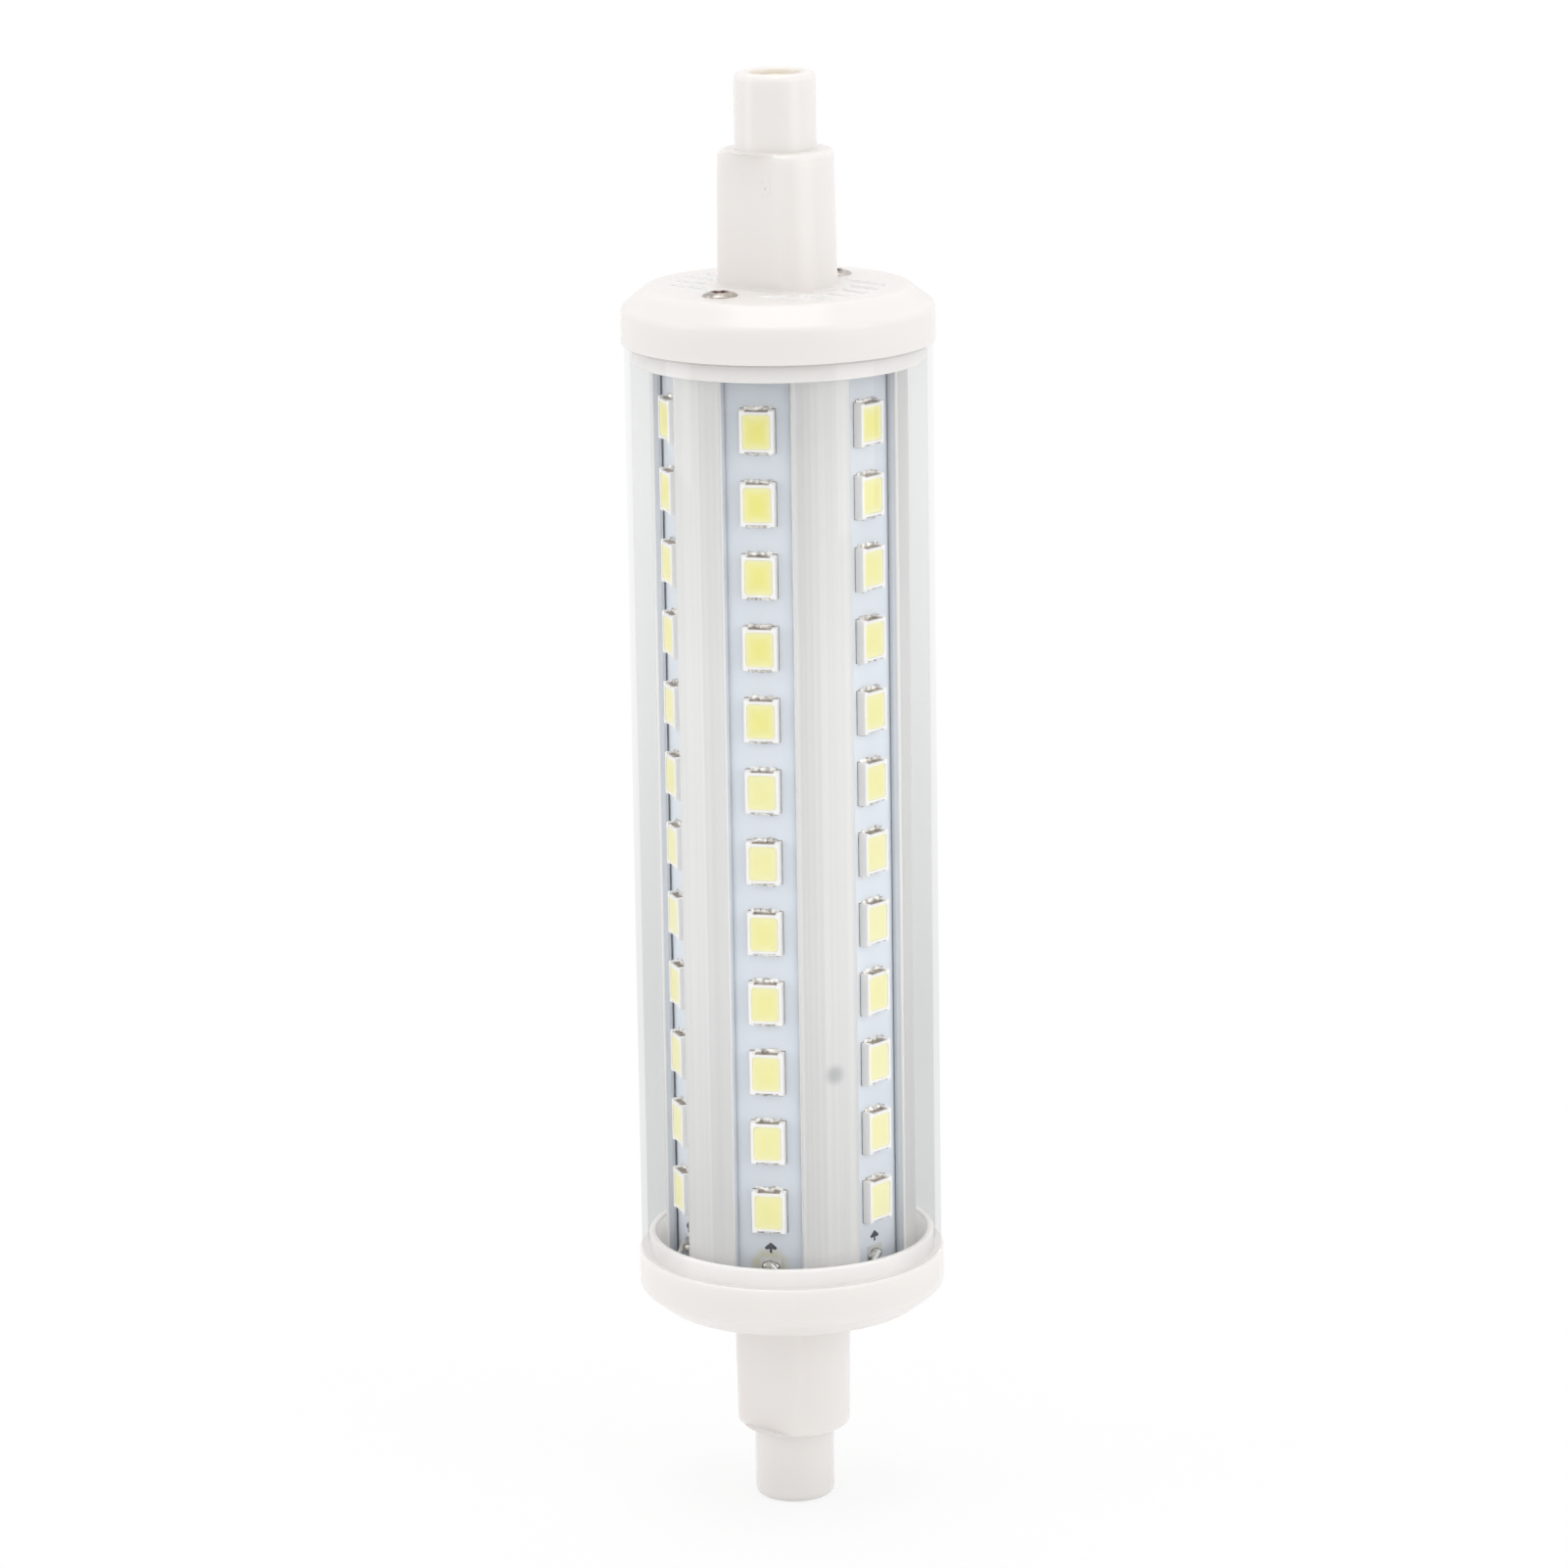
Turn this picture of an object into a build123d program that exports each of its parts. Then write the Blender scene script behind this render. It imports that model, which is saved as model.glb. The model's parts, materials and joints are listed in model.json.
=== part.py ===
from build123d import *
import os
from math import cos, radians, sin, sqrt

# Double-ended linear LED lamp, lying about its own centre.
# +Z runs along the lamp, the flats of both end barrels face -Y.
# An azimuth is measured from -Y towards +X.

# Whole lamp
overall_length = 118.0

# Nose and barrel of each end cap
nose_diameter = 6.5
nose_length = 6.13
nose_edge = 0.5
barrel_tip_diameter = 9.2
barrel_base_diameter = 9.55
barrel_length = 10.82
barrel_edge = 0.4
flat_step = 0.03

# Contact seat inside the nose
seat_depth = 3.6
contact_diameter = 4.3
contact_fit = 0.05
contact_wall = 0.3
contact_floor = 0.8
contact_inset = 0.5
stem_diameter = 2.0
stem_length = 2.0

# Cap body
cap_diameter = 25.0
cap_bevel_width = 1.95
cap_bevel_height = 1.56
cap_skirt_height = 2.91
cap_end_wall = 1.6
spigot_length = 1.5
spigot_wall = 0.6

# Vents in the cap's end wall
vent_rows = 6
vent_pitch = 1.95
vent_width = 0.65
vent_inner_radius = 6.0
vent_outer_radius = 8.4

# Cap screws and the bosses they pass through
screw_inset = 1.1
screw_head_diameter = 2.8
screw_head_top = 1.7
screw_head_height = 0.3
screw_shank_diameter = 1.4
screw_grip = 3.0
screw_hole_play = 0.2
boss_size = 2.8

# Clear tube
tube_inset = 0.2
tube_wall = 0.5
tube_fit = 0.1

# Drawn heat sink
sink_clearance = 0.9
wiring_space = 2.05
board_count = 6
board_recess = 1.3
lip_gap = 0.4
lip_overhang = 0.5
channel_flare = 0.15
pillar_edge = 0.15
sink_wall = 2.1
port_diameter = 1.5
port_slit = 0.7

# Light boards
board_width = 6.2
board_thickness = 1.0
board_side_play = 0.1
board_end_play = 0.4

# LED packages
led_pitch = 5.8
led_end_room = 6.0
led_width = 2.8
led_length = 3.5
led_height = 0.8
window_width = 2.3
window_length = 2.8
window_depth = 0.5
lead_width = 2.4
lead_reach = 0.3
lead_thickness = 0.12

# Solder joints and bare link wires
joint_inset = 1.4
joint_size = 1.1
joint_height = 0.4
joint_taper = 35
wire_sides = 6
link_diameter = 0.5
link_gap = 0.05
link_turn = 1.55
link_lift = 0.75
link_inset = 0.8
link_bend = 0.6
feed_inset = 1.2
feed_bend = 0.8
feed_tail = 2.0

# Driver inside the heat sink's bore
sleeve_fit = 0.1
sleeve_wall = 0.3
sleeve_inset = 1.9
driver_length = 62.0
driver_thickness = 1.0
driver_side_play = 0.05
contact_wire_diameter = 0.9
contact_wire_tail = 2.5

# Driver components, each placed along the lamp from the middle of the board
part_gap = 0.05
fuse_height = 22.0
fuse_size = (3.0, 6.1, 2.6)
rectifier_height = 14.0
rectifier_size = (4.7, 3.9, 2.4)
rectifier_lead = (1.1, 0.6, 0.25)
rectifier_lead_pitch = 2.5
capacitor_height = 3.5
capacitor_headroom = 0.85
capacitor_length = 11.0
choke_height = -8.0
choke_width = 5.8
choke_headroom = 0.55
choke_corner = 1.2
choke_waist = 0.9
choke_flange = 1.0
chip_height = -17.0
chip_size = (3.9, 4.9, 1.5)
chip_lead = (1.05, 0.4, 0.2)
chip_lead_pitch = 1.27
resistor_height = -24.0
resistor_size = (1.6, 3.2, 0.6)
resistor_pitch = 3.0

# Heights that follow from the sizes above, for the upper half
tip_z = overall_length / 2
shoulder_z = tip_z - nose_length
face_z = shoulder_z - barrel_length
skirt_top_z = face_z - cap_bevel_height
skirt_z = skirt_top_z - cap_skirt_height
inner_z = face_z - cap_end_wall
spigot_z = skirt_z - spigot_length
seat_z = tip_z - seat_depth
stem_z = seat_z - stem_length
sink_end_z = inner_z - wiring_space
board_end_z = sink_end_z - board_end_play
joint_z = board_end_z - joint_inset
sleeve_end_z = sink_end_z - sleeve_inset
wiring_z = (sink_end_z + inner_z) / 2

# Radii that follow from the sizes above
nose_radius = nose_diameter / 2
tube_diameter = cap_diameter - 2 * tube_inset
seat_radius = contact_diameter / 2 + contact_fit
spigot_outer_radius = tube_diameter / 2 - tube_wall - tube_fit
spigot_inner_radius = spigot_outer_radius - spigot_wall
sink_radius = spigot_inner_radius - sink_clearance
board_face = sink_radius - board_recess
board_back = board_face - board_thickness
lip_face = board_face + lip_gap
lip_half = board_width / 2 - lip_overhang
bore_radius = board_back - sink_wall
screw_ring = bore_radius + screw_inset
sleeve_outer_radius = bore_radius - sleeve_fit
sleeve_inner_radius = sleeve_outer_radius - sleeve_wall
link_radius = sink_radius - link_inset
feed_drop = sleeve_inner_radius - feed_inset

# Counts and directions
board_step = 360 / board_count
board_azimuths = [board_step * (index + 0.5) for index in range(board_count)]
led_count = int((2 * board_end_z - 2 * led_end_room) / led_pitch) + 1

os.makedirs("parts", exist_ok=True)


def keep(builder, name):
    """Label a finished piece and write it as its own STEP file."""
    builder.part.label = name
    export_step(builder.part, f"parts/{name}.step")


def outward(azimuth):
    """Unit vector that points away from the lamp's axis."""
    return Vector(sin(radians(azimuth)), -cos(radians(azimuth)), 0)


def sideways(azimuth):
    """Unit vector along the lamp's girth, to the right of a viewer outside."""
    return Vector(cos(radians(azimuth)), sin(radians(azimuth)), 0)


def board_plane(azimuth, distance):
    """Plane across one board: x along the girth, y along the lamp, z outward."""
    normal = outward(azimuth)
    return Plane(origin=normal * distance, x_dir=sideways(azimuth), z_dir=normal)


def on_board(azimuth, side, distance, height):
    """Point beside a board's centre line, at a distance from the lamp's axis."""
    return outward(azimuth) * distance + sideways(azimuth) * side + Vector(0, 0, height)


def bent_wire(points, bend, diameter):
    """Sweep a six-sided wire along straight runs joined by tangent arcs."""
    with BuildLine() as path:
        FilletPolyline(*points, radius=bend)
    with BuildSketch(Plane(origin=path.line @ 0, z_dir=path.line % 0)) as section:
        RegularPolygon(diameter / 2, wire_sides)
    sweep(section.sketch, path=path.line)


# Upper end cap: one moulding from the spigot to the nose
with BuildPart() as upper_cap:
    with BuildSketch(Plane.XZ) as cap_section:
        with BuildLine():
            Polyline(
                (seat_radius, tip_z),
                (nose_radius, tip_z),
                (nose_radius, shoulder_z),
                (barrel_tip_diameter / 2, shoulder_z),
                (barrel_base_diameter / 2, face_z),
                (cap_diameter / 2 - cap_bevel_width, face_z),
                (cap_diameter / 2, skirt_top_z),
                (cap_diameter / 2, skirt_z),
                (spigot_outer_radius, skirt_z),
                (spigot_outer_radius, spigot_z),
                (spigot_inner_radius, spigot_z),
                (spigot_inner_radius, inner_z),
                (stem_diameter / 2 + contact_fit, inner_z),
                (stem_diameter / 2 + contact_fit, seat_z),
                (seat_radius, seat_z),
                close=True,
            )
        make_face()
        nose_rim = cap_section.vertices().sort_by_distance((nose_radius, tip_z))[0]
        chamfer(nose_rim, nose_edge)
        shoulder = cap_section.vertices().sort_by_distance((barrel_tip_diameter / 2, shoulder_z))[0]
        chamfer(shoulder, barrel_edge)
    revolve(axis=Axis.Z)
    # The flat runs along the barrel, level with the nose
    with BuildSketch(Plane.XZ.offset(nose_radius + flat_step)):
        with Locations((0, (face_z + shoulder_z) / 2)):
            Rectangle(2 * barrel_base_diameter, barrel_length)
    extrude(amount=barrel_base_diameter, mode=Mode.SUBTRACT)
    # Two bosses hold the cap off the heat sink and leave room for wires
    with BuildSketch(Plane.XY.offset(sink_end_z)):
        with PolarLocations(screw_ring, 2, start_angle=90):
            Rectangle(boss_size, boss_size)
    extrude(amount=wiring_space)
    with BuildSketch(Plane.XY.offset(sink_end_z)):
        with PolarLocations(screw_ring, 2, start_angle=90):
            Circle(screw_shank_diameter / 2 + screw_hole_play)
    extrude(amount=wiring_space + cap_end_wall, mode=Mode.SUBTRACT)
    # Parallel vents on both sides of the barrel, cut off by two circles
    with BuildSketch(Plane.XY.offset(inner_z)):
        with GridLocations(0, vent_pitch, 1, vent_rows):
            Rectangle(2 * vent_outer_radius, vent_width)
        Circle(vent_outer_radius, mode=Mode.INTERSECT)
        Circle(vent_inner_radius, mode=Mode.SUBTRACT)
    extrude(amount=cap_end_wall, mode=Mode.SUBTRACT)
keep(upper_cap, "upper_cap")

with BuildPart() as lower_cap:
    mirror(upper_cap.part, about=Plane.XY)
keep(lower_cap, "lower_cap")

# Contact: a turned brass cup whose stem stands in the hole behind its seat
with BuildPart() as upper_contact:
    with BuildSketch(Plane.XZ):
        cup_radius = contact_diameter / 2
        with BuildLine():
            Polyline(
                (0, seat_z + contact_floor),
                (cup_radius - contact_wall, seat_z + contact_floor),
                (cup_radius - contact_wall, tip_z - contact_inset),
                (cup_radius, tip_z - contact_inset),
                (cup_radius, seat_z),
                (stem_diameter / 2, seat_z),
                (stem_diameter / 2, stem_z),
                (0, stem_z),
                close=True,
            )
        make_face()
    revolve(axis=Axis.Z)
keep(upper_contact, "upper_contact")

with BuildPart() as lower_contact:
    mirror(upper_contact.part, about=Plane.XY)
keep(lower_contact, "lower_contact")

# Cap screws: low heads on the cap's face, shanks in the sink's ports
with BuildPart() as upper_cap_screws:
    shank_length = cap_end_wall + wiring_space + screw_grip
    for screw_y in (-screw_ring, screw_ring):
        screw_seat = Plane(origin=(0, screw_y, face_z), x_dir=(1, 0, 0), z_dir=(0, -1, 0))
        with BuildSketch(screw_seat):
            with BuildLine():
                Polyline(
                    (0, screw_head_height),
                    (0, -shank_length),
                    (screw_shank_diameter / 2, -shank_length),
                    (screw_shank_diameter / 2, 0),
                    (screw_head_diameter / 2, 0),
                    (screw_head_top / 2, screw_head_height),
                    close=True,
                )
            make_face()
        revolve(axis=Axis((0, screw_y, 0), (0, 0, 1)))
keep(upper_cap_screws, "upper_cap_screws")

with BuildPart() as lower_cap_screws:
    mirror(upper_cap_screws.part, about=Plane.XY)
keep(lower_cap_screws, "lower_cap_screws")

# Clear tube, held between the two cap skirts
with BuildPart() as clear_tube:
    with BuildSketch():
        Circle(tube_diameter / 2)
        Circle(tube_diameter / 2 - tube_wall, mode=Mode.SUBTRACT)
    extrude(amount=skirt_z, both=True)
keep(clear_tube, "clear_tube")

# Heat sink: one drawn section with lipped board channels and two screw ports
with BuildPart() as heat_sink:
    with BuildSketch():
        Circle(sink_radius)
        groove_half = board_width / 2 + board_side_play
        mouth_half = lip_half + channel_flare
        mouth_face = sqrt(sink_radius**2 - mouth_half**2)
        corner_half = mouth_half + 2 * pillar_edge
        with BuildSketch(mode=Mode.PRIVATE) as channel_section:
            with BuildLine():
                Polyline(
                    (board_back, -groove_half),
                    (board_back, groove_half),
                    (lip_face, groove_half),
                    (lip_face, lip_half),
                    (mouth_face - pillar_edge, mouth_half),
                    (mouth_face + pillar_edge, corner_half),
                    (sink_radius + board_recess, corner_half),
                    (sink_radius + board_recess, -corner_half),
                    (mouth_face + pillar_edge, -corner_half),
                    (mouth_face - pillar_edge, -mouth_half),
                    (lip_face, -lip_half),
                    (lip_face, -groove_half),
                    close=True,
                )
            make_face()
        with PolarLocations(0, board_count, start_angle=board_azimuths[0] - 90):
            add(channel_section.sketch, mode=Mode.SUBTRACT)
        Circle(bore_radius, mode=Mode.SUBTRACT)
        with PolarLocations(screw_ring, 2, start_angle=90):
            Circle(port_diameter / 2, mode=Mode.SUBTRACT)
        with PolarLocations((bore_radius + screw_ring) / 2, 2, start_angle=90):
            Rectangle(2 * screw_inset, port_slit, mode=Mode.SUBTRACT)
    extrude(amount=sink_end_z, both=True)
keep(heat_sink, "heat_sink")

# Light boards with their LED packages and solder joints
for number, azimuth in enumerate(board_azimuths, start=1):
    front = board_plane(azimuth, board_face)

    with BuildPart() as light_board:
        with BuildSketch(front):
            Rectangle(board_width, 2 * board_end_z)
        extrude(amount=-board_thickness)
    keep(light_board, f"light_board_{number}")

    # Each package stands on a lead frame that shows at both its ends
    with BuildPart() as led_leads:
        with BuildSketch(front):
            with GridLocations(0, led_pitch, 1, led_count):
                Rectangle(lead_width, led_length + 2 * lead_reach)
        extrude(amount=lead_thickness)
    keep(led_leads, f"led_leads_{number}")

    with BuildPart() as led_bodies:
        with BuildSketch(front.offset(lead_thickness)):
            with GridLocations(0, led_pitch, 1, led_count):
                Rectangle(led_width, led_length)
        extrude(amount=led_height - lead_thickness)
        with BuildSketch(front.offset(led_height)):
            with GridLocations(0, led_pitch, 1, led_count):
                Rectangle(window_width, window_length)
        extrude(amount=-window_depth, mode=Mode.SUBTRACT)
    keep(led_bodies, f"led_bodies_{number}")

    with BuildPart() as led_phosphors:
        with BuildSketch(front.offset(led_height - window_depth)):
            with GridLocations(0, led_pitch, 1, led_count):
                Rectangle(window_width, window_length)
        extrude(amount=window_depth)
    keep(led_phosphors, f"led_phosphors_{number}")

    with BuildPart() as solder_joints:
        with BuildSketch(front):
            with GridLocations(0, 2 * joint_z, 1, 2):
                Rectangle(joint_size, joint_size)
        extrude(amount=joint_height, taper=joint_taper)
    keep(solder_joints, f"solder_joints_{number}")

# Bare link wires between neighbouring boards, round the end of one pillar
link_start = joint_size / 2 + link_gap
link_rest = board_face + link_diameter / 2 + link_gap


def link_points(azimuth, end):
    """Route from the joint on one board to the joint on the next."""
    rising = [
        (link_start, link_rest, joint_z),
        (link_turn, link_rest + link_lift / 2, sink_end_z + link_gap * 2),
    ]
    near = [on_board(azimuth, side, far, end * height) for side, far, height in rising]
    across = outward(azimuth + board_step / 2) * link_radius + Vector(0, 0, end * wiring_z)
    following = [
        on_board(azimuth + board_step, -side, far, end * height)
        for side, far, height in reversed(rising)
    ]
    return near + [across] + following


with BuildPart() as lower_link_wires:
    for azimuth in board_azimuths[0::2]:
        bent_wire(link_points(azimuth, -1), link_bend, link_diameter)
keep(lower_link_wires, "lower_link_wires")

with BuildPart() as upper_link_wires:
    for azimuth in board_azimuths[1:-1:2]:
        bent_wire(link_points(azimuth, 1), link_bend, link_diameter)
keep(upper_link_wires, "upper_link_wires")

# Insulating sleeve that lines the bore
with BuildPart() as driver_sleeve:
    with BuildSketch():
        Circle(sleeve_outer_radius)
        Circle(sleeve_inner_radius, mode=Mode.SUBTRACT)
    extrude(amount=sleeve_end_z, both=True)
keep(driver_sleeve, "driver_sleeve")

# Driver board: its parts stand towards +Y, its solder side faces -Y
driver_top = -(contact_wire_diameter / 2 + part_gap)
driver_back = driver_top - driver_thickness
driver_width = 2 * (sqrt(sleeve_inner_radius**2 - driver_back**2) - driver_side_play)
driver_end_z = driver_length / 2
part_side = Plane(origin=(0, driver_top, 0), x_dir=(-1, 0, 0), z_dir=(0, 1, 0))

with BuildPart() as driver_board:
    with BuildSketch(part_side):
        Rectangle(driver_width, driver_length)
    extrude(amount=-driver_thickness)
keep(driver_board, "driver_board")

# Wires along the axis from the contact stems to the driver board
with BuildPart() as upper_contact_wire:
    with BuildSketch(Plane.XY.offset(driver_end_z - contact_wire_tail)):
        RegularPolygon(contact_wire_diameter / 2, wire_sides)
    extrude(amount=stem_z - driver_end_z + contact_wire_tail)
keep(upper_contact_wire, "upper_contact_wire")

with BuildPart() as lower_contact_wire:
    mirror(upper_contact_wire.part, about=Plane.XY)
keep(lower_contact_wire, "lower_contact_wire")

# Feed wires from the driver board over the sink's end to the first and last board
feed_y = driver_back - link_diameter / 2 - part_gap
with BuildPart() as feed_wires:
    for azimuth in (board_azimuths[-1], board_azimuths[0]):
        inner_end = on_board(azimuth, 0, feed_drop, 0)
        feed_points = [
            on_board(azimuth, 0, link_rest, joint_z + link_start),
            on_board(azimuth, 0, link_rest + link_gap, wiring_z),
            on_board(azimuth, 0, feed_drop, wiring_z),
            (inner_end.X, feed_y, driver_end_z),
            (inner_end.X, feed_y, driver_end_z - feed_tail),
        ]
        bent_wire(feed_points, feed_bend, link_diameter)
keep(feed_wires, "feed_wires")


def leads_on_board(height, reach, pitch, count, size):
    """Flat leads on the driver board, in a row on each side of one component."""
    with BuildSketch(part_side) as feet:
        with Locations((0, height)):
            with GridLocations(2 * reach, pitch, 2, count):
                Rectangle(size[0], size[1])
    extrude(feet.sketch, amount=size[2])


# Fuse resistor: a square moulded block where the upper contact wire comes in
with BuildPart() as fuse_resistor:
    with BuildSketch(part_side):
        with Locations((0, fuse_height)):
            Rectangle(fuse_size[0], fuse_size[1])
    extrude(amount=fuse_size[2])
keep(fuse_resistor, "fuse_resistor")

# Bridge rectifier: a moulded block on four flat leads
with BuildPart() as bridge_rectifier:
    with BuildSketch(part_side.offset(rectifier_lead[2])):
        with Locations((0, rectifier_height)):
            Rectangle(rectifier_size[0], rectifier_size[1])
    extrude(amount=rectifier_size[2])
    leads_on_board(rectifier_height, rectifier_size[0] / 2, rectifier_lead_pitch, 2, rectifier_lead)
keep(bridge_rectifier, "bridge_rectifier")

# Smoothing capacitor: a rolled can lying along the board
with BuildPart() as smoothing_capacitor:
    can_radius = (sleeve_inner_radius - capacitor_headroom - driver_top - part_gap) / 2
    with BuildSketch(Plane.XY.offset(capacitor_height - capacitor_length / 2)):
        with Locations((0, driver_top + can_radius + part_gap)):
            Circle(can_radius)
    extrude(amount=capacitor_length)
keep(smoothing_capacitor, "smoothing_capacitor")

# Choke: a ferrite block with cut corners, its winding let into the waist
choke_seat = Plane(origin=(0, driver_top, choke_height), x_dir=(-1, 0, 0), z_dir=(0, 1, 0))
choke_top = sqrt(sleeve_inner_radius**2 - (choke_width / 2) ** 2) - choke_headroom
waist_tall = choke_top - driver_top - 2 * choke_flange


def choke_outline(inset):
    """Square with cut corners, drawn in from the choke's own outline."""
    with BuildSketch(choke_seat.offset(choke_flange)) as outline:
        Rectangle(choke_width - 2 * inset, choke_width - 2 * inset)
        chamfer(outline.vertices(), choke_corner - inset / 2)
    return outline.sketch


with BuildPart() as choke_core:
    extrude(choke_outline(0), amount=waist_tall + choke_flange)
    extrude(choke_outline(0), amount=-choke_flange)
    extrude(choke_outline(0), amount=waist_tall, mode=Mode.SUBTRACT)
    extrude(choke_outline(choke_waist), amount=waist_tall)
keep(choke_core, "choke_core")

with BuildPart() as choke_winding:
    extrude(choke_outline(part_gap), amount=waist_tall)
    extrude(choke_outline(choke_waist), amount=waist_tall, mode=Mode.SUBTRACT)
keep(choke_winding, "choke_winding")

# Driver chip with four flat leads on each side
with BuildPart() as driver_chip:
    with BuildSketch(part_side.offset(chip_lead[2])):
        with Locations((0, chip_height)):
            Rectangle(chip_size[0], chip_size[1])
    extrude(amount=chip_size[2])
    leads_on_board(chip_height, chip_size[0] / 2, chip_lead_pitch, 4, chip_lead)
keep(driver_chip, "driver_chip")

with BuildPart() as chip_resistors:
    with BuildSketch(part_side):
        with Locations((0, resistor_height)):
            with GridLocations(resistor_pitch, 0, 2, 1):
                Rectangle(resistor_size[0], resistor_size[1])
    extrude(amount=resistor_size[2])
keep(chip_resistors, "chip_resistors")
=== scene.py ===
# %% [markdown]
# # A double-ended linear LED lamp
# The lamp is a clear tube between two white caps. Inside it, six rows of LED packages sit on a drawn
# aluminium core. The construction comes ready from CAD, in metres, and this lesson gives it its looks:
# finer meshes where the solids are plain, and a procedural finish for every surface.

# %% Load the construction
import json
import math
import bmesh
import bpy
from mathutils import Matrix, Vector


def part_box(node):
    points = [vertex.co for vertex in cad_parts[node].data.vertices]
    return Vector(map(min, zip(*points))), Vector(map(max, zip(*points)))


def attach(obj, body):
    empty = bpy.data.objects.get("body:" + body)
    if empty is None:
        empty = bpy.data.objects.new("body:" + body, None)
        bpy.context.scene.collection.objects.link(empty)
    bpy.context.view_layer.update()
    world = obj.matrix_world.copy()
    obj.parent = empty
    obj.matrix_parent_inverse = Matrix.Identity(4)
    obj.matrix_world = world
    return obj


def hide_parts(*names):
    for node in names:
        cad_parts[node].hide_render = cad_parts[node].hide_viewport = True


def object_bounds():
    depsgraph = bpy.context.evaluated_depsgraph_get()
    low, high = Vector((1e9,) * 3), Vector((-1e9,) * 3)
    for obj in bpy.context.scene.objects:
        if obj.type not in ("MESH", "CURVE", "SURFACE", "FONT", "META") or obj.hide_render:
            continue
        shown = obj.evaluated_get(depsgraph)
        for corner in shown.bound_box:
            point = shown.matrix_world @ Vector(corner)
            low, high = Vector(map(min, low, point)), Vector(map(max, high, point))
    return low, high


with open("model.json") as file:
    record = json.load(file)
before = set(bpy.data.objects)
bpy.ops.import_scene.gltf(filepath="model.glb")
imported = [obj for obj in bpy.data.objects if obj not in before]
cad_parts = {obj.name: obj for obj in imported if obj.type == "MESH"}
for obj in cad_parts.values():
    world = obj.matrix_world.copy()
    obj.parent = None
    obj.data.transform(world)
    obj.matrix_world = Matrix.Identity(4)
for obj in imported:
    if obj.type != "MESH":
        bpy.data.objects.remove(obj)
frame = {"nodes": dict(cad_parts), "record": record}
cad_low, cad_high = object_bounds()
scene = bpy.context.scene
mm = 0.001
print("CAD box in mm", [round(side / mm, 2) for side in cad_high - cad_low])

# %% [markdown]
# ## The camera
# The camera is set before anything else, so that each render can be laid beside the photograph.
# It looks at the lamp from 41 degrees round its side and from a little above. A long lens keeps the
# edges of the tube nearly parallel. The small roll is the lean that the lamp has in the picture.

# %% Set the camera
view_azimuth = math.radians(41)
view_height = math.radians(13.56)
view_roll = math.radians(-0.86)
lens = bpy.data.cameras.new("view")
lens.lens = 140.45
lens.sensor_width = 36.0
camera = bpy.data.objects.new("view", lens)
scene.collection.objects.link(camera)
aim = Matrix.Rotation(view_azimuth, 4, "Z")
aim = aim @ Matrix.Rotation(math.pi / 2 - view_height, 4, "X")
aim = aim @ Matrix.Rotation(view_roll, 4, "Z")
camera.matrix_world = Matrix.Translation((0.3151, -0.3626, 0.1172)) @ aim
scene.camera = camera
scene.view_settings.view_transform = "Standard"
print("camera distance", round(camera.location.length, 3), "m")

# %% [markdown]
# ## Small helpers for node trees
# Shader trees and geometry trees are built the same way: make a node, set its options, then fill or
# link its sockets. One helper does that for both, so the cells below read like a list of steps.

# %% Node helpers
def add(tree, kind, sockets=None, **options):
    """Add a node, set its options and fill its sockets."""
    node = tree.nodes.new(kind)
    for option, value in options.items():
        setattr(node, option, value)
    return plug(node, sockets or {})


def plug(node, sockets):
    """Fill sockets of a node; each takes either a plain value or another node's output."""
    for key, value in sockets.items():
        if isinstance(value, bpy.types.NodeSocket):
            node.id_data.links.new(value, node.inputs[key])
        else:
            node.inputs[key].default_value = value
    return node


def open_group(name, kind, inputs, outputs):
    """Make a node group with named sockets; returns it with its input sockets and its last node."""
    group = bpy.data.node_groups.new(name, kind)
    for label, socket_type, value in inputs:
        socket = group.interface.new_socket(label, in_out="INPUT", socket_type=socket_type)
        if value is not None:
            socket.default_value = value
    for label, socket_type in outputs:
        group.interface.new_socket(label, in_out="OUTPUT", socket_type=socket_type)
    return group, group.nodes.new("NodeGroupInput").outputs, group.nodes.new("NodeGroupOutput")


def use(tree, group, sockets=None):
    """Put a shader group into a tree."""
    return add(tree, "ShaderNodeGroup", sockets, node_tree=group)


print("node helpers ready")

# %% [markdown]
# Most nodes do a small sum, blend two colours or read a pattern. A socket knows the tree it belongs
# to, so these helpers need only the values. Each gives back the output socket of the node it adds.

# %% Helpers for sums, colours and patterns
def maths(operation, first, second=0.0):
    """One step of arithmetic."""
    tree = next(value.id_data for value in (first, second) if isinstance(value, bpy.types.NodeSocket))
    return add(tree, "ShaderNodeMath", {0: first, 1: second}, operation=operation).outputs[0]


def plus(first, second):
    """Sum of two values."""
    return maths("ADD", first, second)


def minus(first, second):
    """First value less the second."""
    return maths("SUBTRACT", first, second)


def times(first, second):
    """Product of two values."""
    return maths("MULTIPLY", first, second)


def ramp(value, start, end, low=0.0, high=1.0, curve="LINEAR"):
    """Map one range of a value onto another."""
    sockets = {"Value": value, "From Min": start, "From Max": end, "To Min": low, "To Max": high}
    return add(value.id_data, "ShaderNodeMapRange", sockets, interpolation_type=curve).outputs["Result"]


def blend(factor, first, second):
    """Colour between two others."""
    sockets = {"Factor": factor, 6: first, 7: second}
    return add(factor.id_data, "ShaderNodeMix", sockets, data_type="RGBA").outputs[2]


def vector_maths(operation, vector, sockets=None):
    """One step of vector arithmetic, given back as both its outputs."""
    sockets = {0: vector, **(sockets or {})}
    return add(vector.id_data, "ShaderNodeVectorMath", sockets, operation=operation).outputs


def scaled(vector, factor):
    """Vector or colour times a number."""
    return vector_maths("SCALE", vector, {"Scale": factor})[0]


def distance_to(place, spot):
    """How far a place is from a fixed spot."""
    return vector_maths("DISTANCE", place, {1: spot})["Value"]


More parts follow.
